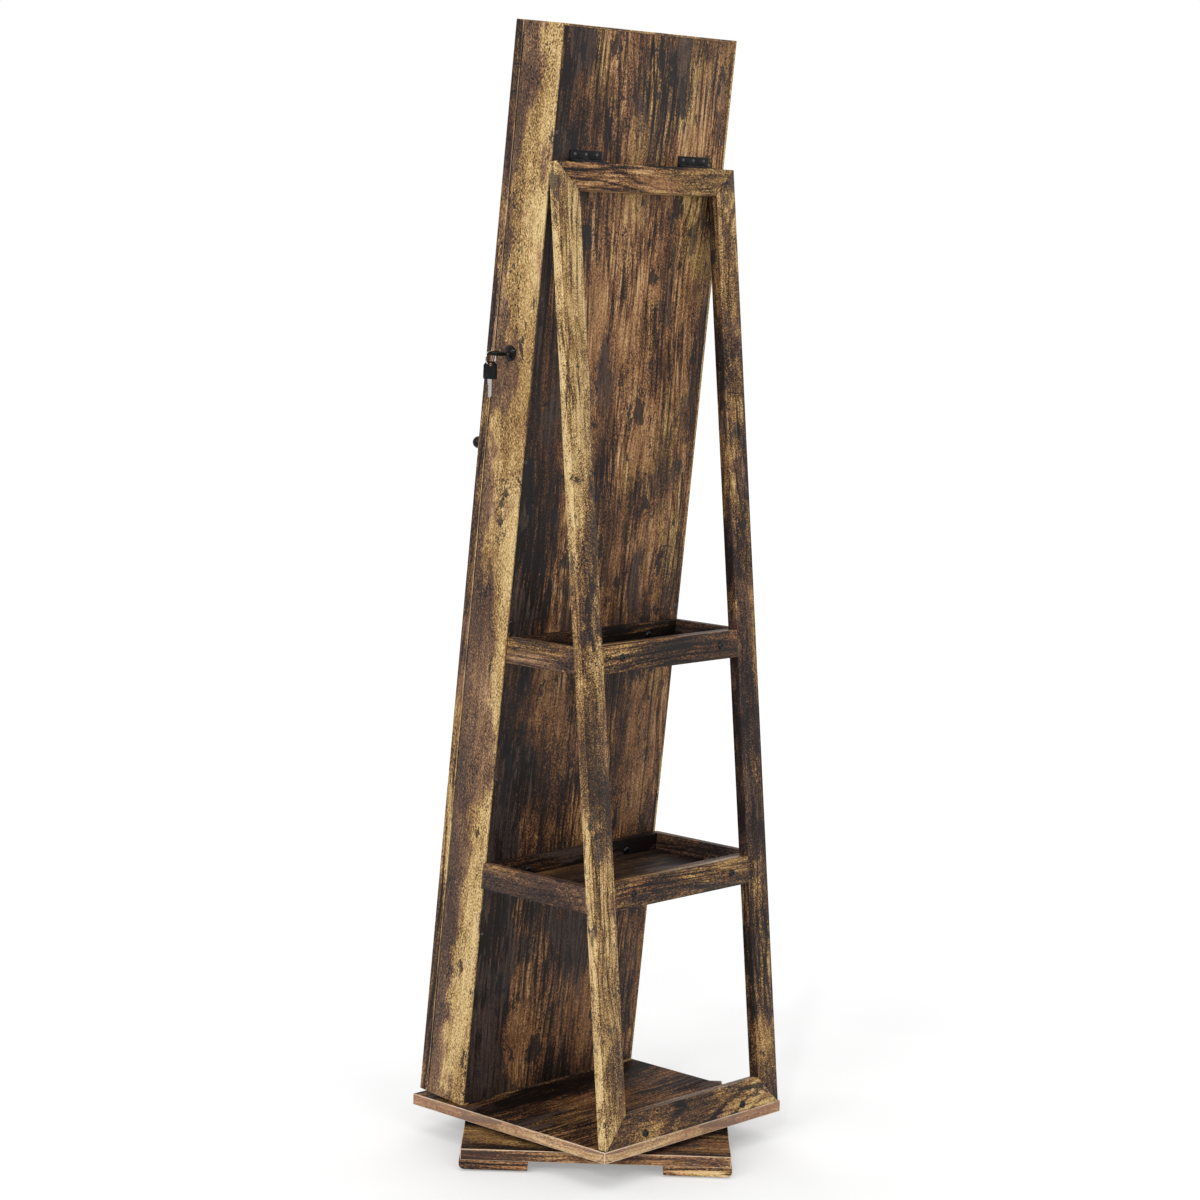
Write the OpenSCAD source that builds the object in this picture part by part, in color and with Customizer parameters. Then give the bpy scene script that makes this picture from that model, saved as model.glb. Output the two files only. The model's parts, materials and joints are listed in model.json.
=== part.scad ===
// Rotating jewelry armoire: leaning mirror cabinet with a support frame and two trays,
// carried by a platform that turns on a square base. Millimetres, +Z up.
// The origin is the centre of the base on the floor. The door faces -Y, the frame stands at +Y.

/* [Base] */
// Side of the square base board
base_side = 375; // [340:1:420]
// Thickness of the base, platform and frame boards
board_t = 16; // [14:0.5:20]
// Height of the foot blocks
foot_h = 12; // [8:1:30]
// Length of a foot block along the board's edge
foot_len = 95; // [60:1:130]
// Width of a foot block
foot_w = 45; // [30:1:60]
// Radius of a foot block's outer bottom corner
foot_round = 7; // [2:0.5:8]
// How far a foot block stands proud of the board
foot_proud = 1.5; // [0.5:0.5:4]
// Thickness of the pads under the feet
pad_h = 3; // [1:0.5:6]
// Margin between a pad and its foot block's edges
pad_margin = 8; // [3:0.5:12]
// Turn of the base under the platform
base_turn = 42.4; // [0:0.1:90]

/* [Swivel] */
// Side of the two square bearing plates
plate_side = 150; // [140:1:190]
// Thickness of the bearing plates
plate_t = 1.2; // [0.8:0.1:1.6]
// Radius of the circle of balls
race_r = 52; // [40:1:55]
// Radius of one ball
ball_r = 2.7; // [2:0.1:2.9]
// Play between a ball and its grooves and plates
ball_play = 0.3; // [0.2:0.05:0.5]
// Number of balls
ball_count = 24; // [8:1:30]
// Distance of the plate screws from the plate's edges
plate_screw_in = 9; // [7:0.5:11]

/* [Platform] */
// Side of the square platform board
platform_side = 375; // [350:1:420]
// Distance from the platform's front edge to the cabinet's front
front_margin = 5; // [2:0.5:15]
// Distance from the platform's rear edge to the frame's foot
foot_inset = 0.5; // [0.5:0.5:15]

/* [Cabinet] */
// Outside width of the cabinet
cab_w = 358; // [320:1:370]
// Length of the cabinet along its own axis
cab_len = 1518; // [1420:1:1650]
// Depth of the case without the door
case_d = 71; // [66:0.5:90]
// Backward lean of the cabinet in degrees
lean = 5.15; // [3:0.05:6]
// Thickness of the case panels
side_t = 12; // [10:0.5:15]
// Thickness of the back panel
back_t = 6; // [4:0.5:8]
// How far the back panel lies inside the case's rear edges
back_inset = 0.8; // [0.4:0.1:1.2]
// Width of the panel edge that shows beside the back panel
back_lip = 3; // [2:0.5:5]
// Thickness of the lining panel
lining_t = 3; // [2:0.5:5]
// Spacing of the screws along the back panel
back_screw_pitch = 224; // [150:1:300]

/* [Door] */
// Thickness of the door
door_t = 14.5; // [13:0.5:18]
// Gap between the door and the case, filled by the hinge leaves
door_gap = 2; // [1.8:0.1:3]
// Width of the door's stiles and rails
member_w = 40; // [34:1:50]
// Wood in front of the mirror's edge
mirror_lip = 4; // [3:0.5:5]
// How far the mirror lies behind the wood
mirror_cover = 8; // [5:0.5:10]
// Thickness of the mirror glass
mirror_t = 4; // [3:0.5:5]
// How far the board behind the mirror lies inside the door's rear face
mirror_board_in = 1.4; // [0.4:0.1:3]
// Radius of the ball knob
knob_r = 8.6; // [6:0.1:12]
// Distance from the door's front to the ball's centre
knob_out = 17; // [15:0.5:24]
// Height of the knob along the door
knob_z = 937; // [850:1:990]
// Distance of the knob from the door's edge
knob_in = 18.5; // [14:0.5:24]
// Length of one door hinge
door_hinge_len = 50; // [40:1:80]
// Distance of the outer door hinges from the door's ends
door_hinge_end = 125; // [90:1:200]

/* [Lock] */
// Height of the lock along the cabinet
lock_z = 1070.5; // [1040:0.5:1120]
// Distance from the case's front edge to the lock
lock_in = 29.5; // [28.5:0.5:33]
// Radius of the lock's round face
lock_face_r = 11; // [10:0.5:13]
// Height of the lock's round face
lock_face_t = 4.2; // [3:0.1:6]
// Radius of the lock's barrel
barrel_r = 8.5; // [8:0.1:9.5]
// Radius of the turning plug
plug_r = 5.45; // [5:0.05:5.8]
// Length of the cam from the lock's axis
cam_len = 27; // [25:0.5:28]
// Width of the cam
cam_w = 14; // [12:0.5:15]
// Distance from the side panel to the key's outer end
key_out = 40; // [38:0.5:48]
// Length of the key's head
key_head_len = 24; // [22:0.5:26]
// Width of the key's head
key_head_w = 20; // [18:0.5:20.5]
// Thickness of the key's head
key_head_t = 3; // [2.6:0.1:3.2]
// Radius of the key ring to the middle of its wire
ring_r = 9.3; // [9.2:0.1:9.6]
// Radius of the key ring's wire
wire_r = 0.65; // [0.5:0.05:0.7]

/* [Inside] */
// Number of shelves
shelf_count = 5; // [3:1:5]
// Height of the lowest shelf
first_shelf = 130; // [100:1:150]
// Distance between shelves
shelf_pitch = 120; // [100:1:122]
// Thickness of a shelf
shelf_t = 9; // [6:0.5:12]
// Height of the rod above its shelf
rod_rise = 22; // [15:1:30]
// Radius of the shelf rods
rod_r = 2; // [1.5:0.1:3]
// Radius of the bracelet rod
bracelet_r = 9; // [7:0.5:12]
// Height of the bracelet rod above the ring pad
bracelet_rise = 70; // [45:1:90]
// Height of the ring pad above the top shelf
ring_pad_rise = 31; // [10:1:50]
// Height of the ring pad
ring_pad_h = 150; // [100:1:160]
// Thickness of the ring pad
ring_pad_t = 18; // [12:0.5:24]
// Height of the lowest earring bar above the bracelet rod
earring_rise = 60; // [35:1:80]
// Distance between earring bars
earring_pitch = 45; // [35:1:48]
// Distance from the cabinet's top to the necklace bar
necklace_drop = 78; // [50:1:250]
// Number of necklace hooks
hook_count = 12; // [6:1:16]

/* [Frame] */
// Outside width of the support frame
frame_w = 366; // [350:1:374]
// Distance from the cabinet's top to the frame's top, along the cabinet's back
frame_drop = 183.4; // [150:0.1:260]
// Width of a leg
leg_w = 42; // [36:1:50]
// Height of the top bar
top_bar_h = 38; // [30:1:50]
// Height of the bottom bar
bottom_bar_h = 42; // [34:1:50]
// Height of a cross rail
rail_h = 39; // [36:1:50]
// Top of the upper cross rail along the slope
upper_rail_top = 686; // [640:1:720]
// Top of the lower cross rail along the slope
lower_rail_top = 362; // [320:1:390]
// How far the cross rails stand proud of the legs
rail_proud = 1; // [0:0.5:2]
// Distance of the bolts from the middle of the frame
bolt_at = 103.5; // [85:0.5:120]
// Radius of a bolt's head
bolt_head_r = 4.5; // [4:0.1:6]
// Height of the bolts in the bottom bar
bottom_bolt_z = 10.5; // [9:0.5:14]
// Depth of the cleat behind the bottom bar
cleat_t = 18; // [16:1:24]
// Height of the cleat behind the bottom bar
cleat_h = 22; // [20:1:34]

/* [Frame hinges] */
// Length of one frame hinge
frame_hinge_len = 64; // [50:1:76]
// Distance of the frame hinges from the middle
frame_hinge_at = 111; // [95:1:120]
// Height of the leaf on the cabinet
frame_leaf_h = 14; // [13.5:0.5:20]
// Thickness of the frame hinges' leaves
frame_leaf_t = 1.4; // [1:0.1:1.8]

/* [Trays] */
// How far the upper tray lies inside the cabinet's sides
upper_tray_in = 3.5; // [0:0.5:12]
// Thickness of the tray rails
tray_rail_t = 12; // [10:0.5:15]
// Height of the tray rails
tray_side_h = 36.5; // [34:0.5:44]
// Thickness of the tray floors
tray_floor_t = 9; // [6:0.5:12]
// Distance from the rails' lower edge to the floor
tray_floor_rise = 3; // [0:0.5:5]
// Gap between a tray's floor and its leaning rails
tray_floor_play = 0.3; // [0.25:0.05:0.8]

/* [Hidden] */
$fn = 48;
// Radial clearance of pins, screws and shafts in their bores
fit = 0.05;
// Clearance between pieces that are seated on each other
seat = 0.1;
// Play around the mirror in its recess
mirror_play = 0.3;
// Play between neighbouring knuckles of a hinge
knuckle_play = 0.3;
// Extra length of a cutting body beyond the face it cuts
cut = 1;

base_top = pad_h + foot_h + board_t;
// Free height between base board and platform
swivel_h = 2 * (plate_t + ball_r + ball_play);
platform_top = base_top + swivel_h + board_t;
ball_z = base_top + swivel_h / 2;
groove_r = ball_r + ball_play;
race_gap = 0.8;
plate_screw_at = plate_side / 2 - plate_screw_in;
race_step = 1.5;
race_wall = 3.5;
plate_screw_r = 1.9;
plate_screw_head_r = 3.6;
plate_screw_head_t = 1.6;
plate_screw_len = 12;

cab_depth = case_d + door_gap + door_t;
cab_foot_y = -platform_side / 2 + front_margin + cab_depth * cos(lean);
frame_foot_y = platform_side / 2 - foot_inset;
// The frame's inner top edge meets the cabinet's back, which gives the frame's length and its angle
frame_foot_out = (frame_foot_y - cab_foot_y) * cos(lean) - seat;
frame_foot_up = (frame_foot_y - cab_foot_y) * sin(lean);
frame_diagonal = norm([frame_foot_out, cab_len - frame_drop - frame_foot_up]);
frame_len = sqrt(pow(frame_diagonal, 2) - pow(board_t, 2));
spread = asin(frame_foot_out / frame_diagonal) - atan(board_t / frame_len);
frame_lean = spread - lean;

half_w = cab_w / 2;
in_half = half_w - side_t;
back_face = back_inset + back_t;
lining_face = back_face + lining_t;
door_back = case_d + door_gap;
door_front = cab_depth;
mirror_board_t = door_t - mirror_lip - mirror_t - seat - mirror_board_in;
shelf_front = case_d - 5;
shelf_zs = [for (i = [0:shelf_count - 1]) first_shelf + i * shelf_pitch];
shelf_rod_y = -(shelf_front - rod_r - 2);
ring_pad_z = shelf_zs[shelf_count - 1] + shelf_t + ring_pad_rise;
bracelet_z = ring_pad_z + ring_pad_h + bracelet_rise;
earring_z = bracelet_z + earring_rise;
necklace_z = cab_len - necklace_drop;
bracelet_y = -(lining_face + 28);
rod_seat = 4;
earring_y = -(lining_face + 12);
earring_t = 1.5;
earring_h = 22;
earring_half = in_half - 20;
necklace_bar_t = 12;
necklace_bar_h = 30;
necklace_half = in_half - 12;
hook_r = 1.3;
hook_out = 20;
hook_tip = 7;
ring_pad_half = in_half - 14;

hinge_r = 2.6;
hinge_pin_r = 1.2;
hinge_leaf_t = door_gap / 2 - 0.15;
hinge_x = -(half_w + hinge_r + 0.2);
hinge_y = -(case_d + door_gap / 2);
hinge_reach = side_t + hinge_r - 1.5;
door_hinge_zs = [door_hinge_end, (cab_len - door_hinge_len) / 2, cab_len - door_hinge_end - door_hinge_len];

frame_hinge_r = 2.7;
frame_pin_r = 1.4;
barrel_rise = frame_hinge_r + seat;
barrel_out = (barrel_rise - seat + barrel_rise * sin(spread)) / cos(spread);
corner_y = frame_foot_y - board_t * cos(frame_lean) - frame_len * sin(frame_lean);
corner_z = platform_top - board_t * sin(frame_lean) + frame_len * cos(frame_lean);
frame_axis_y = corner_y + barrel_out * cos(frame_lean) - barrel_rise * sin(frame_lean);
frame_axis_z = corner_z + barrel_out * sin(frame_lean) + barrel_rise * cos(frame_lean);
// Places of the three screws along a frame hinge's leaf
leaf_screw_xs = [-frame_hinge_len * 0.34, 0, frame_hinge_len * 0.34];
leaf_screw_up = frame_leaf_h * 0.62;
leaf_screw_out = board_t * 0.62;
leaf_screw_r = 1.6;
leaf_screw_head_r = 2.7;
leaf_screw_head_t = 0.7;
leaf_screw_len = back_t + 0.5;

back_screw_x = half_w - (back_lip + side_t) / 2;
back_screw_r = 1.5;
back_screw_len = back_t + 14;
back_screw_zs = [for (z = [30:back_screw_pitch:cab_len - 25]) z];
back_screw_head_t = 0.6;

bolt_r = 2.9;
bolt_head_t = 3;
tray_bolt_len = board_t + rail_proud + tray_rail_t - 2;
tray_back_len = tray_rail_t + back_t - 1;
bottom_bolt_len = board_t + cleat_t - 6;
platform_screw_r = 2.5;
platform_screw_head_r = 5;
platform_screw_head_t = 3;
platform_screw_x = 110;
platform_screw_tip = platform_top + side_t;
cleat_half = frame_w / 2 - leg_w - 4;
cleat_screw_y = frame_foot_y - board_t - cleat_t / 2 - 1;
cleat_screw_tip = platform_top + cleat_h * 0.6;
wedge_near = 12;
wedge_far = cab_depth - 10;
wedge_inset = 24;
wedge_screw_ys = [cab_foot_y - 26, cab_foot_y - case_d + 11];

upper_tray_w = cab_w - 2 * upper_tray_in;
lower_tray_w = frame_w;
upper_z = platform_top + (upper_rail_top - rail_h) * cos(frame_lean);
lower_z = platform_top + (lower_rail_top - rail_h) * cos(frame_lean);

lock_y = -case_d + lock_in;
barrel_end = in_half - 12;
plug_end = barrel_end - 2;
plug_head_r = plug_r + 1.45;
plug_head_t = 1.4;
cam_t = 2;
cam_square = 7;
tail_end = plug_end - cam_t - 1.6;
blade_t = 1.8;
blade_w = 7;
blade_in = 9;
blade_len = 33;
neck_len = 6;
neck_w = 11;
rim_w = 3.5;
slot_len = 8;
slot_w = 12;
key_end = half_w + key_out;
lock_face_x = half_w + lock_face_t;
blade_end = key_end - key_head_len - neck_len + blade_in - blade_len;
keyway_play = 0.3;
// Play between the ring and the rim of each key that hangs on it
ring_play = 1.05;
spare_play = 0.65;
ring_drop = ring_r - wire_r - key_head_t / 2 - ring_play;
spare_turn = 30;
spare_drop = ring_drop + ring_r - wire_r - spare_play - rim_w;
rim_x = key_end - rim_w / 2;
rim_at = on_cabinet(rim_x, lock_y, lock_z);

strike_t = 1.6;
strike_x = tail_end - 3.2;
strike_h = 15;
strike_z = lock_z + barrel_r + 2;
strike_lip_y = lock_y + cam_w / 2 + 0.4;
strike_lip_x = plug_end + 2;
strike_foot_x = in_half - 1.5;

// A point given along the leaning cabinet, in the row frame
function on_cabinet(x, y, z) = [
    x,
    cab_foot_y + y * cos(lean) + z * sin(lean),
    platform_top - y * sin(lean) + z * cos(lean)
];
// The cabinet's rear face and the frame's inner face at a height above the floor
function back_y(z) = cab_foot_y + (z - platform_top) * tan(lean);
function inner_y(z) = frame_foot_y - board_t / cos(frame_lean) - (z - platform_top) * tan(frame_lean);

// The cabinet's own frame: rear face at y = 0, door towards -y, z along its length
module on_the_cabinet() translate([0, cab_foot_y, platform_top]) rotate([-lean, 0, 0]) children();
// The support frame's own frame: outer face at y = 0, z up its slope
module on_the_frame() translate([0, frame_foot_y, platform_top]) rotate([frame_lean, 0, 0]) children();
module on_the_base() rotate([0, 0, base_turn]) children();
module box(from, to) translate(from) cube(to - from);
module both_sides() {
    children();
    mirror([1, 0, 0]) children();
}
// A profile in the Y-Z plane, extruded along X
module yz_prism(points, x0, x1) translate([x0, 0, 0]) rotate([90, 0, 90])
    linear_extrude(x1 - x0) polygon(points);
// A profile in the X-Z plane, extruded from y0 to y1
module xz_prism(points, y0, y1) translate([0, y1, 0]) rotate([90, 0, 0])
    linear_extrude(y1 - y0) polygon(points);

module round_plate(length, width, r) {
    difference() {
        translate([-length / 2, -width / 2]) square([length, width]);
        for (sx = [-1, 1]) for (sy = [-1, 1]) translate([sx * length / 2, sy * width / 2]) {
            difference() {
                translate([sx > 0 ? -r : -cut, sy > 0 ? -r : -cut]) square(r + cut);
                translate([-sx * r, -sy * r]) circle(r);
            }
        }
    }
}

// Screws and bolts stand on z = 0 with the head up
module shank_hole(r, length, above = cut) translate([0, 0, -length - 0.5])
    cylinder(h = length + 0.5 + above, r = r + fit);
module flat_screw(r, length, head_r, head_t) {
    translate([0, 0, -length]) cylinder(h = length + head_t / 2, r = r);
    difference() {
        cylinder(h = head_t, r1 = head_r, r2 = head_r * 0.8);
        for (a = [0, 90]) rotate(a) translate([0, 0, head_t]) cube([head_r, 0.6, head_t], center = true);
    }
}
module hex_bolt(r, length, head_r, head_t) {
    translate([0, 0, -length]) cylinder(h = length + head_t / 4, r = r);
    difference() {
        cylinder(h = head_t, r1 = head_r, r2 = head_r * 0.62);
        translate([0, 0, head_t * 0.45]) cylinder(h = head_t, r = head_r * 0.42, $fn = 6);
    }
}

// Hinges have five knuckles along z; a leaf owns every second one
knuckle_count = 5;
module knuckles(length, first, r, play) {
    step = length / knuckle_count;
    for (i = [first:2:knuckle_count - 1]) translate([0, 0, i * step - play / 2])
        cylinder(h = step + play, r = r);
}
module hinge_leaf(length, reach, leaf_y, leaf_t, r, pin_r, first) {
    difference() {
        union() {
            translate([0, leaf_y, 0]) cube([reach, leaf_t, length]);
            knuckles(length, first, r, -knuckle_play);
        }
        knuckles(length, 1 - first, r + 0.3, knuckle_play);
        translate([0, 0, -cut]) cylinder(h = length + 2 * cut, r = pin_r + fit);
    }
}
module hinge_pin(length, r) {
    translate([0, 0, -0.4]) cylinder(h = length + 0.8, r = r);
    translate([0, 0, -1.4]) cylinder(h = 1.2, r = r * 1.6);
    translate([0, 0, length + 0.2]) cylinder(h = 1.2, r = r * 1.6);
}

// Base and swivel
module at_plate_corners() for (turn = [0:90:270]) rotate(turn)
    translate([plate_screw_at, plate_screw_at, 0]) children();
module at_upper_plate() translate([0, 0, platform_top - board_t - plate_t]) mirror([0, 0, 1])
    at_plate_corners() children();
module at_feet() both_sides() for (turn = [0, 1]) mirror([0, turn, 0])
    translate([base_side / 2 + foot_proud, base_side / 2 + foot_proud, 0]) children();

module base_board() color("#7a5a36") on_the_base() difference() {
    translate([-base_side / 2, -base_side / 2, pad_h + foot_h]) cube([base_side, base_side, board_t]);
    translate([0, 0, base_top + plate_t]) at_plate_corners() shank_hole(plate_screw_r, plate_screw_len);
}
module foot_profile() difference() {
    translate([-foot_len, 0]) square([foot_len, foot_h]);
    translate([-foot_round, foot_round]) difference() {
        translate([0, -foot_round - cut]) square(foot_round + cut);
        circle(foot_round);
    }
}
module foot_blocks() color("#5d4225") on_the_base() at_feet() translate([-foot_w, 0, pad_h])
    rotate([90, 0, 90]) linear_extrude(foot_w) foot_profile();
module foot_pads() color("#1c1a18") on_the_base() at_feet()
    box([-foot_w + pad_margin, -foot_len + pad_margin, 0], [-pad_margin, -foot_round - pad_margin, pad_h]);
module race_ring(r, z0, z1) difference() {
    translate([0, 0, z0]) cylinder(h = z1 - z0, r = r + race_wall / 2, $fn = 96);
    translate([0, 0, z0 - cut]) cylinder(h = z1 - z0 + 2 * cut, r = r - race_wall / 2, $fn = 96);
    translate([0, 0, ball_z]) rotate_extrude($fn = 96) translate([race_r, 0]) circle(groove_r);
}
module bearing_plate(z) difference() {
    translate([-plate_side / 2, -plate_side / 2, z]) cube([plate_side, plate_side, plate_t]);
    translate([0, 0, z - cut]) cylinder(h = plate_t + 2 * cut, r = race_r - race_step - race_wall - 6);
    translate([0, 0, z]) at_plate_corners() shank_hole(plate_screw_r, cut, plate_t + cut);
}
module turntable_lower_plate() color("#8d9094") on_the_base() {
    bearing_plate(base_top);
    race_ring(race_r + race_step + race_wall / 2, base_top, base_top + swivel_h - plate_t - race_gap);
}
module turntable_upper_plate() color("#8d9094") {
    bearing_plate(base_top + swivel_h - plate_t);
    race_ring(race_r - race_step - race_wall / 2, base_top + plate_t + race_gap, base_top + swivel_h);
}
module turntable_balls() color("#c9ccd0") for (i = [0:ball_count - 1]) rotate(i * 360 / ball_count)
    translate([race_r, 0, ball_z]) sphere(ball_r, $fn = 32);
module plate_screw() flat_screw(plate_screw_r, plate_screw_len, plate_screw_head_r, plate_screw_head_t);
module lower_plate_screws() color("#6f7276") on_the_base() translate([0, 0, base_top + plate_t])
    at_plate_corners() plate_screw();

// Platform and what stands on it
module at_wedge_screws() both_sides() for (y = wedge_screw_ys) translate([platform_screw_x, y, 0]) children();
module at_cleat_screws() both_sides() translate([platform_screw_x - 50, cleat_screw_y, 0]) children();
module platform_screw(tip) {
    neck = platform_top - board_t + platform_screw_head_t;
    translate([0, 0, neck]) mirror([0, 0, 1])
        flat_screw(platform_screw_r, tip - neck, platform_screw_head_r, platform_screw_head_t);
}
module platform_screw_hole(tip) translate([0, 0, platform_top - board_t]) {
    translate([0, 0, -cut]) cylinder(h = platform_screw_head_t + cut, r = platform_screw_head_r + 0.2);
    cylinder(h = tip - platform_top + board_t + 0.5, r = platform_screw_r + fit);
}
module platform_board() color("#3d2a1c") difference() {
    translate([-platform_side / 2, -platform_side / 2, platform_top - board_t])
        cube([platform_side, platform_side, board_t]);
    at_upper_plate() shank_hole(plate_screw_r, plate_screw_len);
    at_wedge_screws() platform_screw_hole(platform_screw_tip);
    at_cleat_screws() platform_screw_hole(cleat_screw_tip);
}
module platform_screws() color("#6f7276") {
    at_upper_plate() plate_screw();
    at_wedge_screws() platform_screw(platform_screw_tip);
    at_cleat_screws() platform_screw(cleat_screw_tip);
}
module wedge_blocks() color("#4a3524") difference() {
    both_sides() yz_prism([
        [cab_foot_y - wedge_near, platform_top],
        [cab_foot_y - wedge_near, platform_top + wedge_near * tan(lean) - seat],
        [cab_foot_y - wedge_far, platform_top + wedge_far * tan(lean) - seat],
        [cab_foot_y - wedge_far, platform_top]
    ], platform_screw_x - 40, half_w - wedge_inset);
    at_wedge_screws() platform_screw_hole(platform_screw_tip);
}
module frame_cleat() color("#4a3524") difference() {
    on_the_frame() box([-cleat_half, -board_t - cleat_t, -board_t], [cleat_half, -board_t, cleat_h]);
    below_platform();
    on_the_frame() at_bottom_bolts() shank_hole(bolt_r, bottom_bolt_len);
    at_cleat_screws() platform_screw_hole(cleat_screw_tip);
}
module below_platform()
    box([-frame_w, 0, platform_top - 4 * board_t], [frame_w, frame_foot_y + board_t, platform_top]);

// Cabinet
module at_back_screws() both_sides() for (z = back_screw_zs) translate([back_screw_x, -back_inset, z])
    rotate([-90, 0, 0]) children();
module at_rods() {
    for (z = shelf_zs) translate([0, shelf_rod_y, z + shelf_t + rod_rise]) rotate([0, 90, 0]) children();
}
module rod(r, y, z, clearance = 0) translate([-in_half - rod_seat - clearance, y, z]) rotate([0, 90, 0])
    cylinder(h = 2 * (in_half + rod_seat + clearance), r = r + clearance);
module rod_holes() {
    for (z = shelf_zs) rod(rod_r, shelf_rod_y, z + shelf_t + rod_rise, fit);
    rod(bracelet_r, bracelet_y, bracelet_z, fit);
}
module side_panel() difference() {
    box([in_half, -case_d, 0], [half_w, 0, cab_len]);
    box([in_half - cut, -back_face, back_lip], [half_w - back_lip, cut, cab_len - back_lip]);
    rod_holes();
    at_back_screws() shank_hole(back_screw_r, back_screw_len);
}
module lock_side_panel() color("#9a7440") on_the_cabinet() difference() {
    side_panel();
    translate([in_half - cut, lock_y, lock_z]) rotate([0, 90, 0])
        cylinder(h = side_t + 2 * cut, r = barrel_r + fit);
}
module hinge_side_panel() color("#9a7440") on_the_cabinet() mirror([1, 0, 0]) side_panel();
module end_panel(z0, z1, rabbet0, rabbet1) difference() {
    box([-in_half + seat, -case_d, z0], [in_half - seat, 0, z1]);
    box([-in_half, -back_face, rabbet0], [in_half, cut, rabbet1]);
}
module top_panel() color("#8a6638") on_the_cabinet()
    end_panel(cab_len - side_t, cab_len, cab_len - side_t - cut, cab_len - back_lip);
module bottom_panel() color("#8a6638") difference() {
    on_the_cabinet() end_panel(0, side_t, back_lip, side_t + cut);
    at_wedge_screws() platform_screw_hole(platform_screw_tip);
}
module back_panel() color("#57391f") difference() {
    on_the_cabinet() box([-half_w + back_lip + seat, -back_face + seat, back_lip + seat],
        [half_w - back_lip - seat, -back_inset, cab_len - back_lip - seat]);
    on_the_cabinet() at_back_screws() shank_hole(back_screw_r, back_screw_len);
    at_cabinet_leaf_screws() shank_hole(leaf_screw_r, leaf_screw_len);
    at_tray_back_bolts() shank_hole(bolt_r, tray_back_len);
}
module cabinet_screws() color("#1d1b1a") {
    on_the_cabinet() at_back_screws() flat_screw(back_screw_r, back_screw_len, 2.6, back_screw_head_t);
    at_cabinet_leaf_screws() flat_screw(leaf_screw_r, leaf_screw_len, leaf_screw_head_r, leaf_screw_head_t);
    at_frame_leaf_screws() flat_screw(leaf_screw_r, leaf_screw_len * 2, leaf_screw_head_r, leaf_screw_head_t);
}
module lining_panel() color("#2a2624") on_the_cabinet() box(
    [-in_half + seat, -lining_face, side_t + seat],
    [in_half - seat, -back_face, cab_len - side_t - seat]);
module inner_shelves() color("#3a2a1e") on_the_cabinet() for (z = shelf_zs)
    box([-in_half + seat, -shelf_front, z], [in_half - seat, -lining_face - seat, z + shelf_t]);
module inner_rods() color("#b0894a") on_the_cabinet() {
    for (z = shelf_zs) rod(rod_r, shelf_rod_y, z + shelf_t + rod_rise);
    rod(bracelet_r, bracelet_y, bracelet_z);
}
module ring_pad() color("#322d2b") on_the_cabinet() box(
    [-ring_pad_half, -lining_face - ring_pad_t, ring_pad_z],
    [ring_pad_half, -lining_face - seat, ring_pad_z + ring_pad_h]);
module earring_bar() {
    difference() {
        box([-earring_half, earring_y - earring_t, 0], [earring_half, earring_y, earring_h]);
        both_sides() for (i = [1:11]) translate([i * (earring_half - 12) / 11, earring_y, earring_h / 2])
            cube([1.6, 4 * earring_t, earring_h * 0.5], center = true);
    }
    both_sides() translate([earring_half - 5, earring_y - earring_t / 2, earring_h / 2]) rotate([-90, 0, 0])
        cylinder(h = -earring_y + earring_t / 2 - lining_face - seat, r = 3);
}
module earring_bars() color("#b0894a") on_the_cabinet() for (i = [0:2])
    translate([0, 0, earring_z + i * earring_pitch]) earring_bar();
module at_hooks() {
    first = -necklace_half + 12;
    step = -2 * first / (hook_count - 1);
    translate([0, -lining_face - necklace_bar_t, necklace_z + necklace_bar_h / 2])
        for (i = [0:hook_count - 1]) translate([first + i * step, 0, 0]) children();
}
module necklace_bar() color("#6b4a2a") on_the_cabinet() difference() {
    box([-necklace_half, -lining_face - necklace_bar_t, necklace_z],
        [necklace_half, -lining_face - seat, necklace_z + necklace_bar_h]);
    at_hooks() rotate([-90, 0, 0]) translate([0, 0, -cut]) cylinder(h = 8 + cut, r = hook_r + fit);
}
module necklace_hooks() color("#b0894a") on_the_cabinet() at_hooks() {
    translate([0, -hook_out, 0]) rotate([-90, 0, 0]) cylinder(h = hook_out + 7, r = hook_r);
    translate([0, -hook_out, 0]) sphere(hook_r, $fn = 24);
    translate([0, -hook_out, 0]) cylinder(h = hook_tip, r = hook_r);
    translate([0, -hook_out, hook_tip]) sphere(hook_r * 1.6, $fn = 24);
}

// Support frame, mitred at its corners
module frame_leg() difference() {
    xz_prism([
        [frame_w / 2, 0], [frame_w / 2, frame_len],
        [frame_w / 2 - leg_w, frame_len - top_bar_h], [frame_w / 2 - leg_w, bottom_bar_h]
    ], -board_t, 0);
}
module frame_lock_side_leg() color("#a37c45") difference() {
    on_the_frame() frame_leg();
    below_platform();
}
module frame_hinge_side_leg() color("#a37c45") difference() {
    on_the_frame() mirror([1, 0, 0]) frame_leg();
    below_platform();
}
module frame_top_bar() color("#7d5a33") difference() {
    on_the_frame() xz_prism([
        [-frame_w / 2, frame_len], [frame_w / 2, frame_len],
        [frame_w / 2 - leg_w, frame_len - top_bar_h], [-frame_w / 2 + leg_w, frame_len - top_bar_h]
    ], -board_t, 0);
    at_frame_leaf_screws() shank_hole(leaf_screw_r, leaf_screw_len * 2);
}
module frame_bottom_bar() color("#7d5a33") difference() {
    on_the_frame() xz_prism([
        [-frame_w / 2, 0], [frame_w / 2, 0],
        [frame_w / 2 - leg_w, bottom_bar_h], [-frame_w / 2 + leg_w, bottom_bar_h]
    ], -board_t, 0);
    below_platform();
    on_the_frame() at_bottom_bolts() shank_hole(bolt_r, bottom_bolt_len);
}
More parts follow.
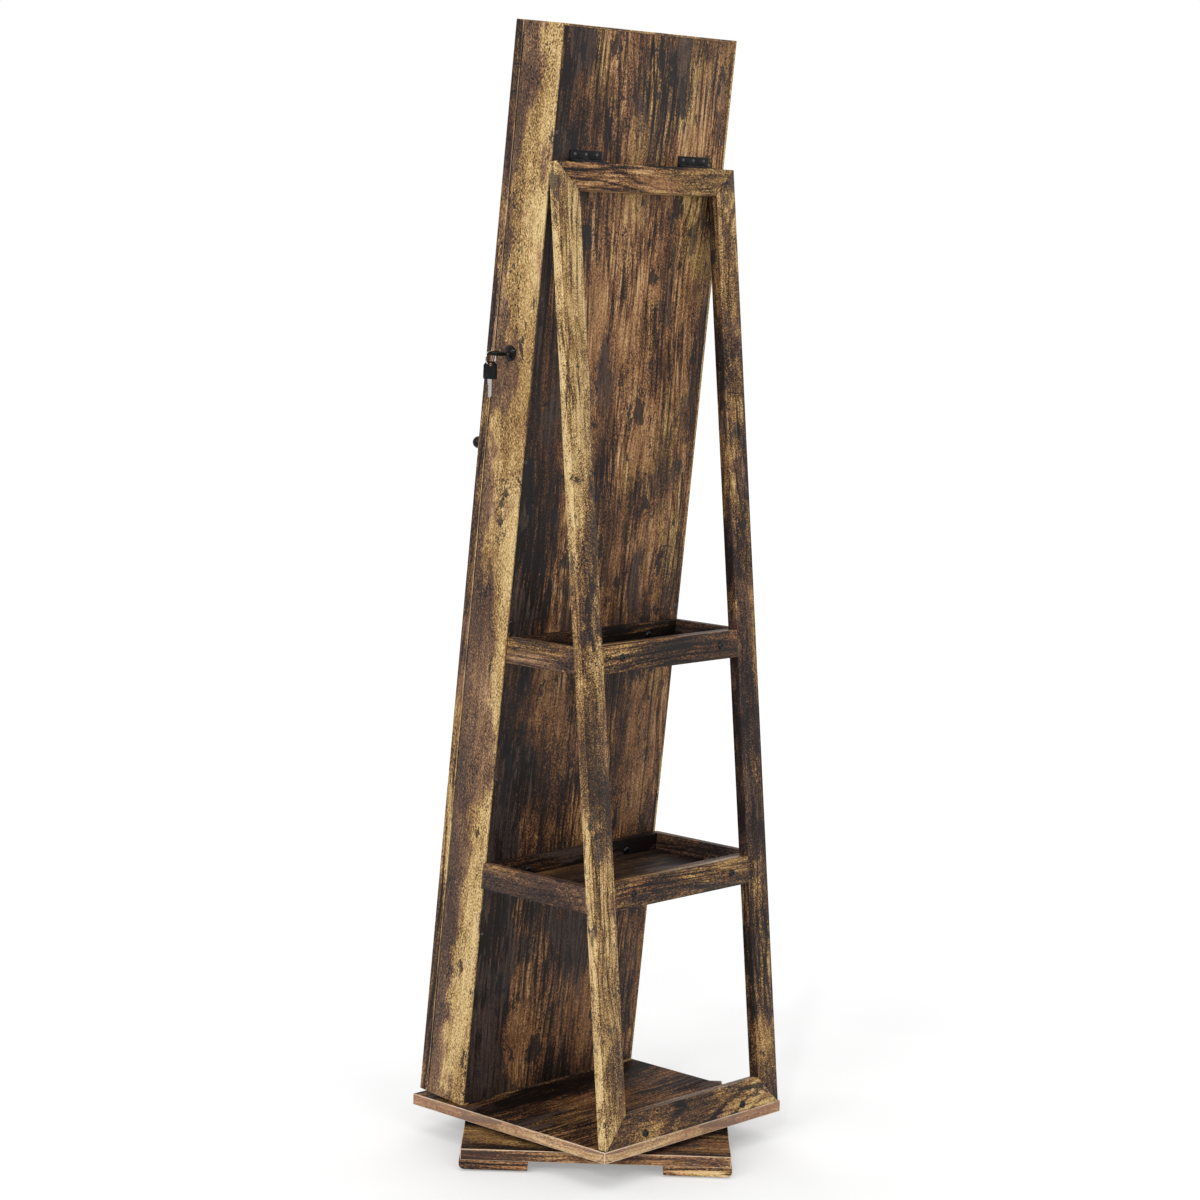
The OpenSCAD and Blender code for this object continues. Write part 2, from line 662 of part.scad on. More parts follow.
module cross_rail(top) color("#6e4e2c") on_the_frame() difference() {
    box([-frame_w / 2 + leg_w, -board_t, top - rail_h], [frame_w / 2 - leg_w, rail_proud, top]);
    at_rail_bolts(top) shank_hole(bolt_r, tray_bolt_len);
}
module frame_upper_rail() cross_rail(upper_rail_top);
module frame_lower_rail() cross_rail(lower_rail_top);

// Bolts of the frame and the trays, with their heads towards the outside or into the tray
module at_rail_bolts(top) both_sides() translate([bolt_at, rail_proud, top - rail_h / 2])
    rotate([-90, 0, 0]) children();
module at_bottom_bolts() both_sides() translate([bolt_at, 0, bottom_bolt_z]) rotate([-90, 0, 0]) children();
module at_tray_back_bolts() on_the_cabinet() both_sides() for (z = [upper_z, lower_z])
    translate([bolt_at, tray_rail_t + seat, (z + tray_side_h * 0.55 - platform_top) / cos(lean)])
        rotate([-90, 0, 0]) children();
module connecting_bolts() color("#161514") {
    on_the_frame() {
        at_rail_bolts(upper_rail_top) hex_bolt(bolt_r, tray_bolt_len, bolt_head_r, bolt_head_t);
        at_rail_bolts(lower_rail_top) hex_bolt(bolt_r, tray_bolt_len, bolt_head_r, bolt_head_t);
        at_bottom_bolts() hex_bolt(bolt_r, bottom_bolt_len, bolt_head_r, bolt_head_t);
    }
    at_tray_back_bolts() hex_bolt(bolt_r, tray_back_len, bolt_head_r, bolt_head_t);
}

// Hinges between the top bar and the cabinet's back
module at_frame_hinges() for (x = [-frame_hinge_at, frame_hinge_at])
    translate([x, frame_axis_y, frame_axis_z]) children();
module hinge_along_x() rotate([0, -90, 0]) translate([0, 0, -frame_hinge_len / 2]) children();
module at_cabinet_leaf_screws() at_frame_hinges() rotate([-lean, 0, 0]) for (x = leaf_screw_xs)
    translate([x, frame_leaf_t - barrel_rise - back_inset, leaf_screw_up]) rotate([-90, 0, 0]) children();
module at_frame_leaf_screws() at_frame_hinges() rotate([frame_lean, 0, 0]) for (x = leaf_screw_xs)
    translate([x, leaf_screw_out - barrel_out, frame_leaf_t - barrel_rise]) children();
module frame_hinge_leaf(reach, leaf_y, first)
    hinge_leaf(frame_hinge_len, reach, leaf_y, frame_leaf_t, frame_hinge_r, frame_pin_r, first);
module frame_hinge_cabinet_leaves() color("#151515") difference() {
    at_frame_hinges() rotate([-lean, 0, 0]) hinge_along_x()
        frame_hinge_leaf(frame_leaf_h, -barrel_rise - back_inset, 0);
    at_cabinet_leaf_screws() shank_hole(leaf_screw_r, leaf_screw_len);
}
module frame_hinge_frame_leaves() color("#151515") difference() {
    at_frame_hinges() rotate([frame_lean - 90, 0, 0]) hinge_along_x()
        frame_hinge_leaf(board_t - barrel_out - 0.5, barrel_rise - frame_leaf_t, 1);
    at_frame_leaf_screws() shank_hole(leaf_screw_r, leaf_screw_len);
}

// Trays between the cabinet's back and the frame
// Each profile leans with the cabinet on one side and with the frame on the other
function behind_cabinet(z, off) = [back_y(z) + seat + off, z];
function before_frame(z, off) = [inner_y(z) - seat - off, z];
module tray_side_rails(w, z) color("#80603a") both_sides() yz_prism([
    behind_cabinet(z, 0), before_frame(z, 0),
    before_frame(z + tray_side_h, 0), behind_cabinet(z + tray_side_h, 0)
], w / 2 - tray_rail_t, w / 2);
module tray_back_rail(w, z) color("#6a4a2b") difference() {
    yz_prism([
        behind_cabinet(z, 0), behind_cabinet(z, tray_rail_t),
        behind_cabinet(z + tray_side_h, tray_rail_t), behind_cabinet(z + tray_side_h, 0)
    ], -w / 2 + tray_rail_t, w / 2 - tray_rail_t);
    at_tray_back_bolts() shank_hole(bolt_r, tray_back_len, tray_rail_t);
}
module tray_front_rail(w, z, top) color("#6a4a2b") difference() {
    yz_prism([
        before_frame(z, tray_rail_t), before_frame(z, 0),
        before_frame(z + tray_side_h, 0), before_frame(z + tray_side_h, tray_rail_t)
    ], -w / 2 + tray_rail_t, w / 2 - tray_rail_t);
    on_the_frame() at_rail_bolts(top) shank_hole(bolt_r, tray_bolt_len);
}
module tray_floor(w, z) color("#4d3522") {
    z0 = z + tray_floor_rise;
    z1 = z0 + tray_floor_t;
    wall = tray_rail_t + tray_floor_play;
    yz_prism([
        behind_cabinet(z0, wall), before_frame(z0, wall), before_frame(z1, wall), behind_cabinet(z1, wall)
    ], -w / 2 + wall, w / 2 - wall);
}
module upper_tray_floor() tray_floor(upper_tray_w, upper_z);
module upper_tray_side_rails() tray_side_rails(upper_tray_w, upper_z);
module upper_tray_back_rail() tray_back_rail(upper_tray_w, upper_z);
module upper_tray_front_rail() tray_front_rail(upper_tray_w, upper_z, upper_rail_top);
module lower_tray_floor() tray_floor(lower_tray_w, lower_z);
module lower_tray_side_rails() tray_side_rails(lower_tray_w, lower_z);
module lower_tray_back_rail() tray_back_rail(lower_tray_w, lower_z);
module lower_tray_front_rail() tray_front_rail(lower_tray_w, lower_z, lower_rail_top);

// Door
module mirror_recess() box(
    [-half_w + member_w - mirror_cover, -door_front + mirror_lip, member_w - mirror_cover],
    [half_w - member_w + mirror_cover, -door_back + cut, cab_len - member_w + mirror_cover]);
module knob_place() translate([half_w - knob_in, -door_front, knob_z]) rotate([90, 0, 0]) children();
module door_stile() difference() {
    box([half_w - member_w, -door_front, 0], [half_w, -door_back, cab_len]);
    mirror_recess();
}
module door_lock_stile() color("#8f6b3b") on_the_cabinet() difference() {
    door_stile();
    knob_place() shank_hole(2.5, 9);
}
module door_hinge_stile() color("#8f6b3b") on_the_cabinet() mirror([1, 0, 0]) door_stile();
module door_rail(z0, z1) color("#8f6b3b") on_the_cabinet() difference() {
    box([-half_w + member_w, -door_front, z0], [half_w - member_w, -door_back, z1]);
    mirror_recess();
}
module door_top_rail() door_rail(cab_len - member_w, cab_len);
module door_bottom_rail() door_rail(0, member_w);
// A sheet in the door's recess, given by its distance behind the wooden lip
module mirror_sheet(depth, thickness) on_the_cabinet() box(
    [-half_w + member_w - mirror_cover + mirror_play, -door_front + mirror_lip + depth,
        member_w - mirror_cover + mirror_play],
    [half_w - member_w + mirror_cover - mirror_play, -door_front + mirror_lip + depth + thickness,
        cab_len - member_w + mirror_cover - mirror_play]);
module mirror_glass() color("#cfd8dc") mirror_sheet(0, mirror_t);
module mirror_board() color("#2a2624") mirror_sheet(mirror_t + seat, mirror_board_t);
module door_knob() color("#141414") on_the_cabinet() knob_place() {
    translate([0, 0, -9]) cylinder(h = 9 + knob_out, r = 2.5);
    cylinder(h = 2, r = knob_r * 0.72);
    cylinder(h = knob_out, r1 = knob_r * 0.6, r2 = knob_r * 0.42);
    translate([0, 0, knob_out]) sphere(knob_r);
}

// Door hinges, with their leaves in the gap between door and case
module at_door_hinges() on_the_cabinet() for (z = door_hinge_zs) translate([hinge_x, hinge_y, z]) children();
module door_hinge_case_leaves() color("#1b1b1b") at_door_hinges()
    hinge_leaf(door_hinge_len, hinge_reach, 0.15, hinge_leaf_t, hinge_r, hinge_pin_r, 0);
module door_hinge_door_leaves() color("#1b1b1b") at_door_hinges()
    hinge_leaf(door_hinge_len, hinge_reach, -0.15 - hinge_leaf_t, hinge_leaf_t, hinge_r, hinge_pin_r, 1);
module hinge_pins() color("#3a3a3a") {
    at_door_hinges() hinge_pin(door_hinge_len, hinge_pin_r);
    at_frame_hinges() hinge_along_x() hinge_pin(frame_hinge_len, frame_pin_r);
}

// Lock: its axis runs along X through the side panel
module on_lock_axis(x) on_the_cabinet() translate([x, lock_y, lock_z]) rotate([0, 90, 0]) children();
module lock_bore(r, x0, x1) on_lock_axis(x0) cylinder(h = x1 - x0, r = r + fit);
module lock_body() color("#1a1a1a") difference() {
    union() {
        on_lock_axis(half_w) cylinder(h = lock_face_t, r1 = lock_face_r, r2 = lock_face_r * 0.82);
        on_lock_axis(barrel_end) cylinder(h = half_w - barrel_end + cut, r = barrel_r);
    }
    lock_bore(plug_r, barrel_end - cut, lock_face_x + cut);
    lock_bore(plug_head_r, lock_face_x - plug_head_t, lock_face_x + cut);
}
module blade_box(width, thickness, x0, x1) on_the_cabinet()
    translate([x0, lock_y - width / 2, lock_z - thickness / 2]) cube([x1 - x0, width, thickness]);
module lock_plug() color("#b9bcc0") difference() {
    union() {
        on_lock_axis(lock_face_x - plug_head_t + seat) cylinder(h = plug_head_t - seat, r = plug_head_r);
        on_lock_axis(plug_end) cylinder(h = lock_face_x - plug_end, r = plug_r);
        blade_box(cam_square, cam_square, tail_end, plug_end + cut);
    }
    blade_box(blade_w + keyway_play, blade_t + keyway_play, blade_end - 1, lock_face_x + cut);
}
module lock_cam() color("#8f9296") difference() {
    on_lock_axis(plug_end - cam_t) {
        cylinder(h = cam_t, r = cam_w / 2);
        translate([-cam_w / 2, cam_w / 2 - cam_len, 0]) cube([cam_w, cam_len - cam_w / 2, cam_t]);
        translate([0, cam_w / 2 - cam_len, 0]) cylinder(h = cam_t, r = cam_w / 2);
    }
    blade_box(cam_square + 2 * fit, cam_square + 2 * fit, tail_end - cut, plug_end + cut);
}
// Folded from one strip: a foot on the door, a leg into the case and a lip behind the cam
module strike_fold(x0, x1, y0, y1) box([x0, y0, strike_z], [x1, y1, strike_z + strike_h]);
module lock_strike() color("#8f9296") on_the_cabinet() {
    strike_fold(strike_x, strike_foot_x, -door_back, -door_back + strike_t);
    strike_fold(strike_x, strike_x + strike_t, -door_back, strike_lip_y + strike_t);
    strike_fold(strike_x, strike_lip_x, strike_lip_y, strike_lip_y + strike_t);
}

// A key lies along -x from its outer end at the origin, flat in the x-y plane
module head_shape() difference() {
    translate([0, 0, -key_head_t / 2]) linear_extrude(key_head_t) difference() {
        union() {
            translate([-key_head_len / 2, 0]) round_plate(key_head_len, key_head_w, 5);
            translate([-key_head_len - neck_len, -neck_w / 2]) square([neck_len + cut, neck_w]);
        }
        translate([-rim_w - slot_len / 2, 0]) round_plate(slot_len, slot_w, 2);
    }
    translate([-key_head_len - neck_len - cut, -blade_w / 2 - fit, -blade_t / 2 - fit])
        cube([blade_in + cut, blade_w + 2 * fit, blade_t + 2 * fit]);
}
module blade_shape() translate([blade_end - key_end, 0, -blade_t / 2])
    linear_extrude(blade_t) difference() {
        translate([0, -blade_w / 2]) square([blade_len - fit, blade_w]);
        for (i = [0:4]) translate([4 + i * 3.6, -blade_w / 2]) circle(i % 2 == 0 ? 1.5 : 1, $fn = 24);
    }
module in_lock() on_the_cabinet() translate([key_end, lock_y, lock_z]) children();
module on_ring() translate(rim_at - [0, 0, spare_drop]) rotate([0, 0, spare_turn]) rotate([0, -90, 0])
    children();
module key_head() color("#161616") in_lock() head_shape();
module key_blade() color("#c6c9cc") in_lock() blade_shape();
module key_ring() color("#c6c9cc") translate(rim_at - [0, 0, ring_drop]) rotate([90, 0, 0])
    rotate_extrude($fn = 64) translate([ring_r, 0]) circle(wire_r, $fn = 16);
module spare_key_head() color("#161616") on_ring() head_shape();
module spare_key_blade() color("#c6c9cc") on_ring() blade_shape();

base_board();
foot_blocks();
foot_pads();
turntable_lower_plate();
turntable_balls();
lower_plate_screws();
turntable_upper_plate();
platform_board();
platform_screws();
wedge_blocks();
frame_cleat();
lock_side_panel();
hinge_side_panel();
top_panel();
bottom_panel();
back_panel();
cabinet_screws();
lining_panel();
inner_shelves();
inner_rods();
ring_pad();
earring_bars();
necklace_bar();
necklace_hooks();
frame_lock_side_leg();
frame_hinge_side_leg();
frame_top_bar();
frame_bottom_bar();
frame_upper_rail();
frame_lower_rail();
frame_hinge_cabinet_leaves();
frame_hinge_frame_leaves();
hinge_pins();
upper_tray_floor();
upper_tray_side_rails();
upper_tray_back_rail();
upper_tray_front_rail();
lower_tray_floor();
lower_tray_side_rails();
lower_tray_back_rail();
lower_tray_front_rail();
connecting_bolts();
door_lock_stile();
door_hinge_stile();
door_top_rail();
door_bottom_rail();
mirror_board();
mirror_glass();
door_knob();
door_hinge_door_leaves();
door_hinge_case_leaves();
lock_body();
lock_strike();
lock_plug();
lock_cam();
key_head();
key_blade();
key_ring();
spare_key_head();
spare_key_blade();
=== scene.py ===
# Looks for the rotating jewelry armoire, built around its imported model. Metres, in the model's own frame.
import json
from math import cos, pi, radians, sin

import bpy
from mathutils import Matrix, Vector

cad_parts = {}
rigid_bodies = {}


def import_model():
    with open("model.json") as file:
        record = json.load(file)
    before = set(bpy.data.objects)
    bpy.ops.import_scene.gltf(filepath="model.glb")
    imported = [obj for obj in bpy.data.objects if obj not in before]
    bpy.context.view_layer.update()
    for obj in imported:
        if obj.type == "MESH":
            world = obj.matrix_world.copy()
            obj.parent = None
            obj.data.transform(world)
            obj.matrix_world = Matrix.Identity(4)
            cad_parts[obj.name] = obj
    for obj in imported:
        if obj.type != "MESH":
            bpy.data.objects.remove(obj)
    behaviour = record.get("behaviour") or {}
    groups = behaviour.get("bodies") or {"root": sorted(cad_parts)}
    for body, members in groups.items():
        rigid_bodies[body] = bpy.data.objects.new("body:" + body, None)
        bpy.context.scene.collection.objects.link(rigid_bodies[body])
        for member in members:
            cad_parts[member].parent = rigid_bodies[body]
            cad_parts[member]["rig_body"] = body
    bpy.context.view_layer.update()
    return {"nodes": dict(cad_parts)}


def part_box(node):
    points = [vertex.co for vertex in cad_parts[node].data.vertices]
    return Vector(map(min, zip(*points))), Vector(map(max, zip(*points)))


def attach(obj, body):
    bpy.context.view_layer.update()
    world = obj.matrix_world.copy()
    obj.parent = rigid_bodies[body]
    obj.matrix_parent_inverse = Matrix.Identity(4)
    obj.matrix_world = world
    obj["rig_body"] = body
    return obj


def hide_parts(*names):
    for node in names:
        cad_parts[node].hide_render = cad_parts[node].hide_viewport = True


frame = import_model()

NODES = frame["nodes"]
MM = 0.001

# Sizes and places of the part, as its source has them
LEAN = radians(5.15)
FRAME_LEAN = radians(6.2835)
BASE_TURN = radians(42.4)
PLATFORM_TOP = 0.0554
CABINET_FOOT_Y = -0.095353
FRAME_FOOT_Y = 0.187
FRAME_LENGTH = 1.339
HALF_WIDTH = 0.179
DOOR_FRONT = 0.0875
BOARD = 0.016
LOCK_Y = -0.0415
LOCK_Z = 1.0705


def turn(axis, degrees):
    return Matrix.Rotation(radians(degrees), 4, axis)


def move(x, y, z):
    return Matrix.Translation((x, y, z))


# The cabinet's, the frame's and the base's own places
CABINET = move(0, CABINET_FOOT_Y, PLATFORM_TOP) @ Matrix.Rotation(-LEAN, 4, "X")
FRAME = move(0, FRAME_FOOT_Y, PLATFORM_TOP) @ Matrix.Rotation(FRAME_LEAN, 4, "X")
BASE = Matrix.Rotation(BASE_TURN, 4, "Z")
AWAY_FROM_BACK = turn("X", -90)
TOWARDS_FRONT = turn("X", 90)

# Ways from the model's frame to a board's own frame, with the grain along z
GRAIN_CABINET = CABINET.inverted()
GRAIN_FRAME = FRAME.inverted()
GRAIN_ACROSS = turn("Y", -90)
GRAIN_BAR = turn("Y", -90) @ FRAME.inverted()
GRAIN_RAIL = turn("Y", -90) @ CABINET.inverted()
GRAIN_DEEP = turn("X", 90)
GRAIN_BASE = turn("X", 90) @ BASE.inverted()


# Modelling

# Edges of a board sharper than this are rounded
SHARP = radians(32)
# Corners of a new piece, and of a copied solid, closer than this are one
SAME_PLACE = 0.000002
SAME_CORNER = 0.00001
# Neighbouring faces of a copied solid within this angle are one
FLAT = radians(0.6)


def deselect():
    bpy.ops.object.select_all(action="DESELECT")


def pick(piece):
    deselect()
    piece.select_set(True)
    bpy.context.view_layer.objects.active = piece


def edit(piece):
    pick(piece)
    bpy.ops.object.mode_set(mode="EDIT")
    bpy.ops.mesh.select_mode(type="FACE")
    bpy.ops.mesh.select_all(action="SELECT")


def leave():
    bpy.ops.object.mode_set(mode="OBJECT")


def shaped(piece, kind, **settings):
    """Adds a modifier with these settings and applies it."""
    pick(piece)
    modifier = piece.modifiers.new(kind.title(), kind)
    for name, value in settings.items():
        setattr(modifier, name, value)
    bpy.ops.object.modifier_apply(modifier=modifier.name)


def tidy(piece, smooth=30):
    """Merges doubles, turns the faces outwards and shades edges under this angle smooth."""
    edit(piece)
    bpy.ops.mesh.remove_doubles(threshold=SAME_PLACE)
    bpy.ops.mesh.normals_make_consistent(inside=False)
    leave()
    pick(piece)
    bpy.ops.object.shade_smooth_by_angle(angle=radians(smooth))


def mark_long_edges(mesh, length):
    """Marks the sharp edges longer than this many millimetres for the bevel."""
    sides = {}
    for face in mesh.polygons:
        for key in face.edge_keys:
            sides.setdefault(key, []).append(face.normal)
    weight = mesh.attributes.new("bevel_weight_edge", "FLOAT", "EDGE")
    for line in mesh.edges:
        a, b = (mesh.vertices[i].co for i in line.vertices)
        normals = sides.get(tuple(sorted(line.vertices)), [])
        sharp = len(normals) == 2 and normals[0].angle(normals[1], 0) > SHARP
        weight.data[line.index].value = float(sharp and (a - b).length > length * MM)


def dressed(node, edge, steps=2, longer=0):
    """A copy of a CAD node with its edges rounded by this many millimetres: all sharp ones, or only those
    longer than this. Its round edges are marked for the print's edge wear and painted edge highlight or
    shadow line."""
    mesh = NODES[node].data.copy()
    piece = bpy.data.objects.new(node + "_finished", mesh)
    bpy.context.scene.collection.objects.link(piece)
    mesh.materials.clear()
    for _ in range(2):
        mesh.materials.append(None)
    for face in mesh.polygons:
        face.material_index = 0
    edit(piece)
    bpy.ops.mesh.remove_doubles(threshold=SAME_CORNER)
    bpy.ops.mesh.dissolve_limited(angle_limit=FLAT)
    leave()
    pick(piece)
    bpy.ops.mesh.customdata_custom_splitnormals_clear()
    if longer:
        mark_long_edges(mesh, longer)
        shaped(piece, "BEVEL", width=edge * MM, segments=steps, limit_method="WEIGHT", material=1)
    else:
        shaped(piece, "BEVEL", width=edge * MM, segments=steps, limit_method="ANGLE", angle_limit=SHARP,
               material=1)
    edge_wear_and_light = mesh.attributes.new("edge_wear_and_light", "FLOAT", "FACE")
    for face in mesh.polygons:
        edge_wear_and_light.data[face.index].value = float(face.material_index == 1)
        face.material_index = 0
    bpy.ops.object.shade_smooth_by_angle(angle=radians(30))
    return piece


def grained(board, grain, flat=None):
    """Writes each corner's place in the board's own frame, with its grain along z, and marks the faces of its
    edge band. The band on a board's end has its grain along the end. flat is the axis that the board faces:
    without it, the one in which all of the mesh is thinnest."""
    mesh = board.data
    turned_frame = grain.to_3x3()
    spots = [grain @ vertex.co for vertex in mesh.vertices]
    sizes = [max(spot[i] for spot in spots) - min(spot[i] for spot in spots) for i in range(3)]
    flat = sizes.index(min(sizes)) if flat is None else flat
    place = mesh.attributes.new("grain_place", "FLOAT_VECTOR", "CORNER")
    band = mesh.attributes.new("band", "FLOAT", "FACE")
    for face in mesh.polygons:
        way = turned_frame @ face.normal
        band.data[face.index].value = float(abs(way[flat]) < 0.3)
        for loop in face.loop_indices:
            x, y, z = spots[mesh.loops[loop].vertex_index]
            if abs(way.z) > 0.75:
                x, y, z = (x, z, y) if flat == 0 else (z, y, x)
            place.data[loop].vector = (x, y, z)


def turned(name, profile, sides=32, smooth=30):
    """A round piece about the z axis, drawn up from a disc through (radius, height) steps in millimetres."""
    deselect()
    radius, height = profile[0]
    bpy.ops.mesh.primitive_circle_add(vertices=sides, radius=radius * MM, fill_type="NGON",
                                      location=(0, 0, height * MM))
    piece = bpy.context.object
    piece.name = name
    bpy.ops.object.transform_apply(location=True, rotation=True, scale=True)
    edit(piece)
    for next_radius, next_height in profile[1:]:
        bpy.ops.mesh.extrude_region_move(
            TRANSFORM_OT_translate={"value": (0, 0, (next_height - height) * MM)})
        grow = next_radius / radius
        bpy.ops.transform.resize(value=(grow, grow, 1), center_override=(0, 0, next_height * MM))
        radius, height = next_radius, next_height
    leave()
    tidy(piece, smooth)
    return piece


def ball(radius, height, start, end, steps):
    """Steps of a ball's outline for turned(), from one angle of its height to another."""
    angles = [radians(start + (end - start) * i / steps) for i in range(steps + 1)]
    return [(radius * cos(a), height + radius * sin(a)) for a in angles]


def block(name, low, high, edge=0):
    """A bar between two corners in millimetres, with its edges rounded where edge is given."""
    deselect()
    bpy.ops.mesh.primitive_cube_add(size=1)
    piece = bpy.context.object
    piece.name = name
    low, high = Vector(low) * MM, Vector(high) * MM
    piece.scale = high - low
    piece.location = (low + high) / 2
    bpy.ops.object.transform_apply(location=True, rotation=True, scale=True)
    if edge:
        shaped(piece, "BEVEL", width=edge * MM, segments=2, limit_method="ANGLE")
        bpy.ops.object.shade_smooth_by_angle(angle=radians(40))
    return piece


def cut(piece, tool):
    """Cuts the tool's shape out of the piece and removes the tool."""
    shaped(piece, "BOOLEAN", operation="DIFFERENCE", object=tool, solver="EXACT")
    bpy.data.objects.remove(tool)


def wire(name, points, radius):
    """A round wire of this radius through points, in millimetres, with closed ends."""
    curve = bpy.data.curves.new(name, "CURVE")
    curve.dimensions = "3D"
    curve.bevel_depth = radius * MM
    curve.bevel_resolution = 4
    curve.use_fill_caps = True
    spline = curve.splines.new("POLY")
    spline.points.add(len(points) - 1)
    for point, place in zip(spline.points, points):
        point.co = (*(Vector(place) * MM), 1)
    piece = bpy.data.objects.new(name, curve)
    bpy.context.scene.collection.objects.link(piece)
    pick(piece)
    bpy.ops.object.convert(target="MESH")
    tidy(piece, 40)
    return piece


def placed(piece, where):
    """Moves a piece's mesh, and leaves its object at the origin."""
    piece.data.transform(where)
    if where.to_3x3().determinant() < 0:
        piece.data.flip_normals()
    piece.data.update()
    return piece


def copies(piece, name, places):
    """The piece repeated at each place as one object, each copy with its own mesh before they are joined."""
    made = []
    for where in places:
        copy = bpy.data.objects.new(name, piece.data.copy())
        bpy.context.scene.collection.objects.link(copy)
        made.append(placed(copy, where))
    bpy.data.objects.remove(piece)
    return joined(made, name)


def joined(made, name):
    deselect()
    for part in made:
        part.select_set(True)
    bpy.context.view_layer.objects.active = made[0]
    if len(made) > 1:
        bpy.ops.object.join()
    made[0].name = name
    return made[0]


def finished(piece, finish, *nodes):
    """Gives a piece its finish, lets it ride on its nodes' body and stand for them."""
    piece.data.materials.clear()
    piece.data.materials.append(finish)
    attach(piece, NODES[nodes[0]]["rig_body"])
    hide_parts(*nodes)
    return piece


# Finishes

def colour(r, g, b):
    """An sRGB colour of 0 to 255 as the shader's linear values."""
    return (*[(c / 255 / 12.92) if c <= 10 else ((c / 255 + 0.055) / 1.055) ** 2.4 for c in (r, g, b)], 1)


class Finish:
    """A material under the brush: each call adds a node and returns its output."""

    def __init__(self, name):
        self.material = bpy.data.materials.new(name)
        self.material.use_nodes = True
        self.tree = self.material.node_tree
        self.tree.nodes.clear()
        self.surface = self.node("BsdfPrincipled")
        self.output = self.node("OutputMaterial")
        self.tree.links.new(self.surface.outputs[0], self.output.inputs["Surface"])
        self.place = self.node("TexCoord").outputs["Object"]

    def node(self, kind, settings=(), **sockets):
        """A shader node with its settings and inputs. An input goes by its name, or by _ and its number."""
        node = self.tree.nodes.new("ShaderNode" + kind)
        for name, value in dict(settings).items():
            setattr(node, name, value)
        for name, value in sockets.items():
            self.set(node, int(name[1:]) if name[0] == "_" else name, value)
        return node

    def set(self, node, socket, value):
        """Links another node's output to an input, or sets a plain value on it."""
        socket = node.inputs[socket]
        if isinstance(value, bpy.types.NodeSocket):
            self.tree.links.new(value, socket)
        else:
            socket.default_value = value

    def sum(self, operation, a, b=0.0, c=0.0, clamp=False):
        return self.node("Math", {"operation": operation, "use_clamp": clamp}, _0=a, _1=b, _2=c).outputs[0]

    def mapped(self, vector, scale, shift=(0, 0, 0)):
        return self.node("Mapping", Vector=vector, Location=shift, Scale=scale).outputs[0]

    def noise(self, vector, scale, seed, detail, rough, colours=False):
        """Noise at a scale along each axis. Each seed shifts it to another stretch."""
        shift = (seed * 1.37 + 3.1, seed * 2.71 - 1.7, seed * 0.83 + 5.3)
        node = self.node("TexNoise", Vector=self.mapped(vector, scale, shift), Scale=1.0,
                         Detail=detail, Roughness=rough)
        return node.outputs[1 if colours else 0]

    def between(self, value, low, high, to_low=0.0, to_high=1.0):
        """A smooth step: to_low up to low, to_high from high on."""
        return self.node("MapRange", {"interpolation_type": "SMOOTHSTEP"}, _0=value, _1=low, _2=high,
                         _3=to_low, _4=to_high).outputs[0]

    def ramp(self, value, stops):
        """Colours for a value from 0 to 1: each stop is a position and its sRGB colour."""
        node = self.node("ValToRGB", _0=value)
        steps = node.color_ramp.elements
        while len(steps) < len(stops):
            steps.new(0.5)
        for step, (position, tone) in zip(steps, stops):
            step.position, step.color = position, colour(*tone)
        return node.outputs[0]

    def blend(self, factor, a, b):
        """Colour a, and b where the factor is 1."""
        return self.node("Mix", {"data_type": "RGBA"}, _0=factor, _6=a, _7=b).outputs[2]

    def bump(self, height, strength, depth):
        """Bump of this depth in millimetres."""
        node = self.node("Bump", Height=height, Strength=strength, Distance=depth * MM)
        self.set(self.surface, "Normal", node.outputs[0])

    def surface_is(self, **sockets):
        for name, value in sockets.items():
            self.set(self.surface, name.replace("_", " "), value)
        return self.material


# The woodgrain print, from its darkest streaks to its palest gold, and its two other casts
GOLD = [
    (0.0, (22, 17, 15)), (0.14, (48, 35, 28)), (0.3, (80, 57, 40)), (0.46, (115, 83, 53)),
    (0.62, (151, 114, 67)), (0.78, (187, 153, 96)), (0.9, (208, 177, 119)), (1.0, (226, 200, 148))]
MAUVE = [
    (0.0, (24, 18, 18)), (0.2, (54, 40, 35)), (0.4, (82, 60, 47)), (0.6, (112, 82, 62)),
    (0.8, (146, 112, 80)), (1.0, (190, 154, 114))]
RUST = [
    (0.0, (22, 16, 14)), (0.2, (55, 38, 29)), (0.4, (97, 66, 45)), (0.6, (142, 99, 64)),
    (0.8, (178, 136, 92)), (1.0, (212, 174, 126))]


# Noise fields of the print: scale along x, y and z of the board, step of the seed, detail and roughness
FIELDS = {
    "cloud": ((11, 11, 3.2), 1, 6, 0.66),
    "streak": ((44, 44, 3.6), 2, 4, 0.62),
    "line": ((230, 230, 7), 3, 3, 0.7),
    "swell": ((7.5, 7.5, 1.3), 4, 2, 0.5),
    "lined": ((13, 13, 3), 5, 2, 0.5),
    "fleck": ((620, 620, 260), 6, 2, 0.7),
    "pore": ((520, 520, 210), 7, 2, 0.6),
    "rich": ((30, 30, 10), 8, 3, 0.6),
    "wander": ((17, 17, 9), 9, 4, 0.65),
    "edge_mark_spread": ((55, 55, 30), 10, 3, 0.6),
    "warm": ((13, 13, 3.2), 11, 5, 0.6),
    "char": ((15, 15, 3.6), 12, 6, 0.64),
    "ink": ((38, 38, 13), 13, 5, 0.7),
}


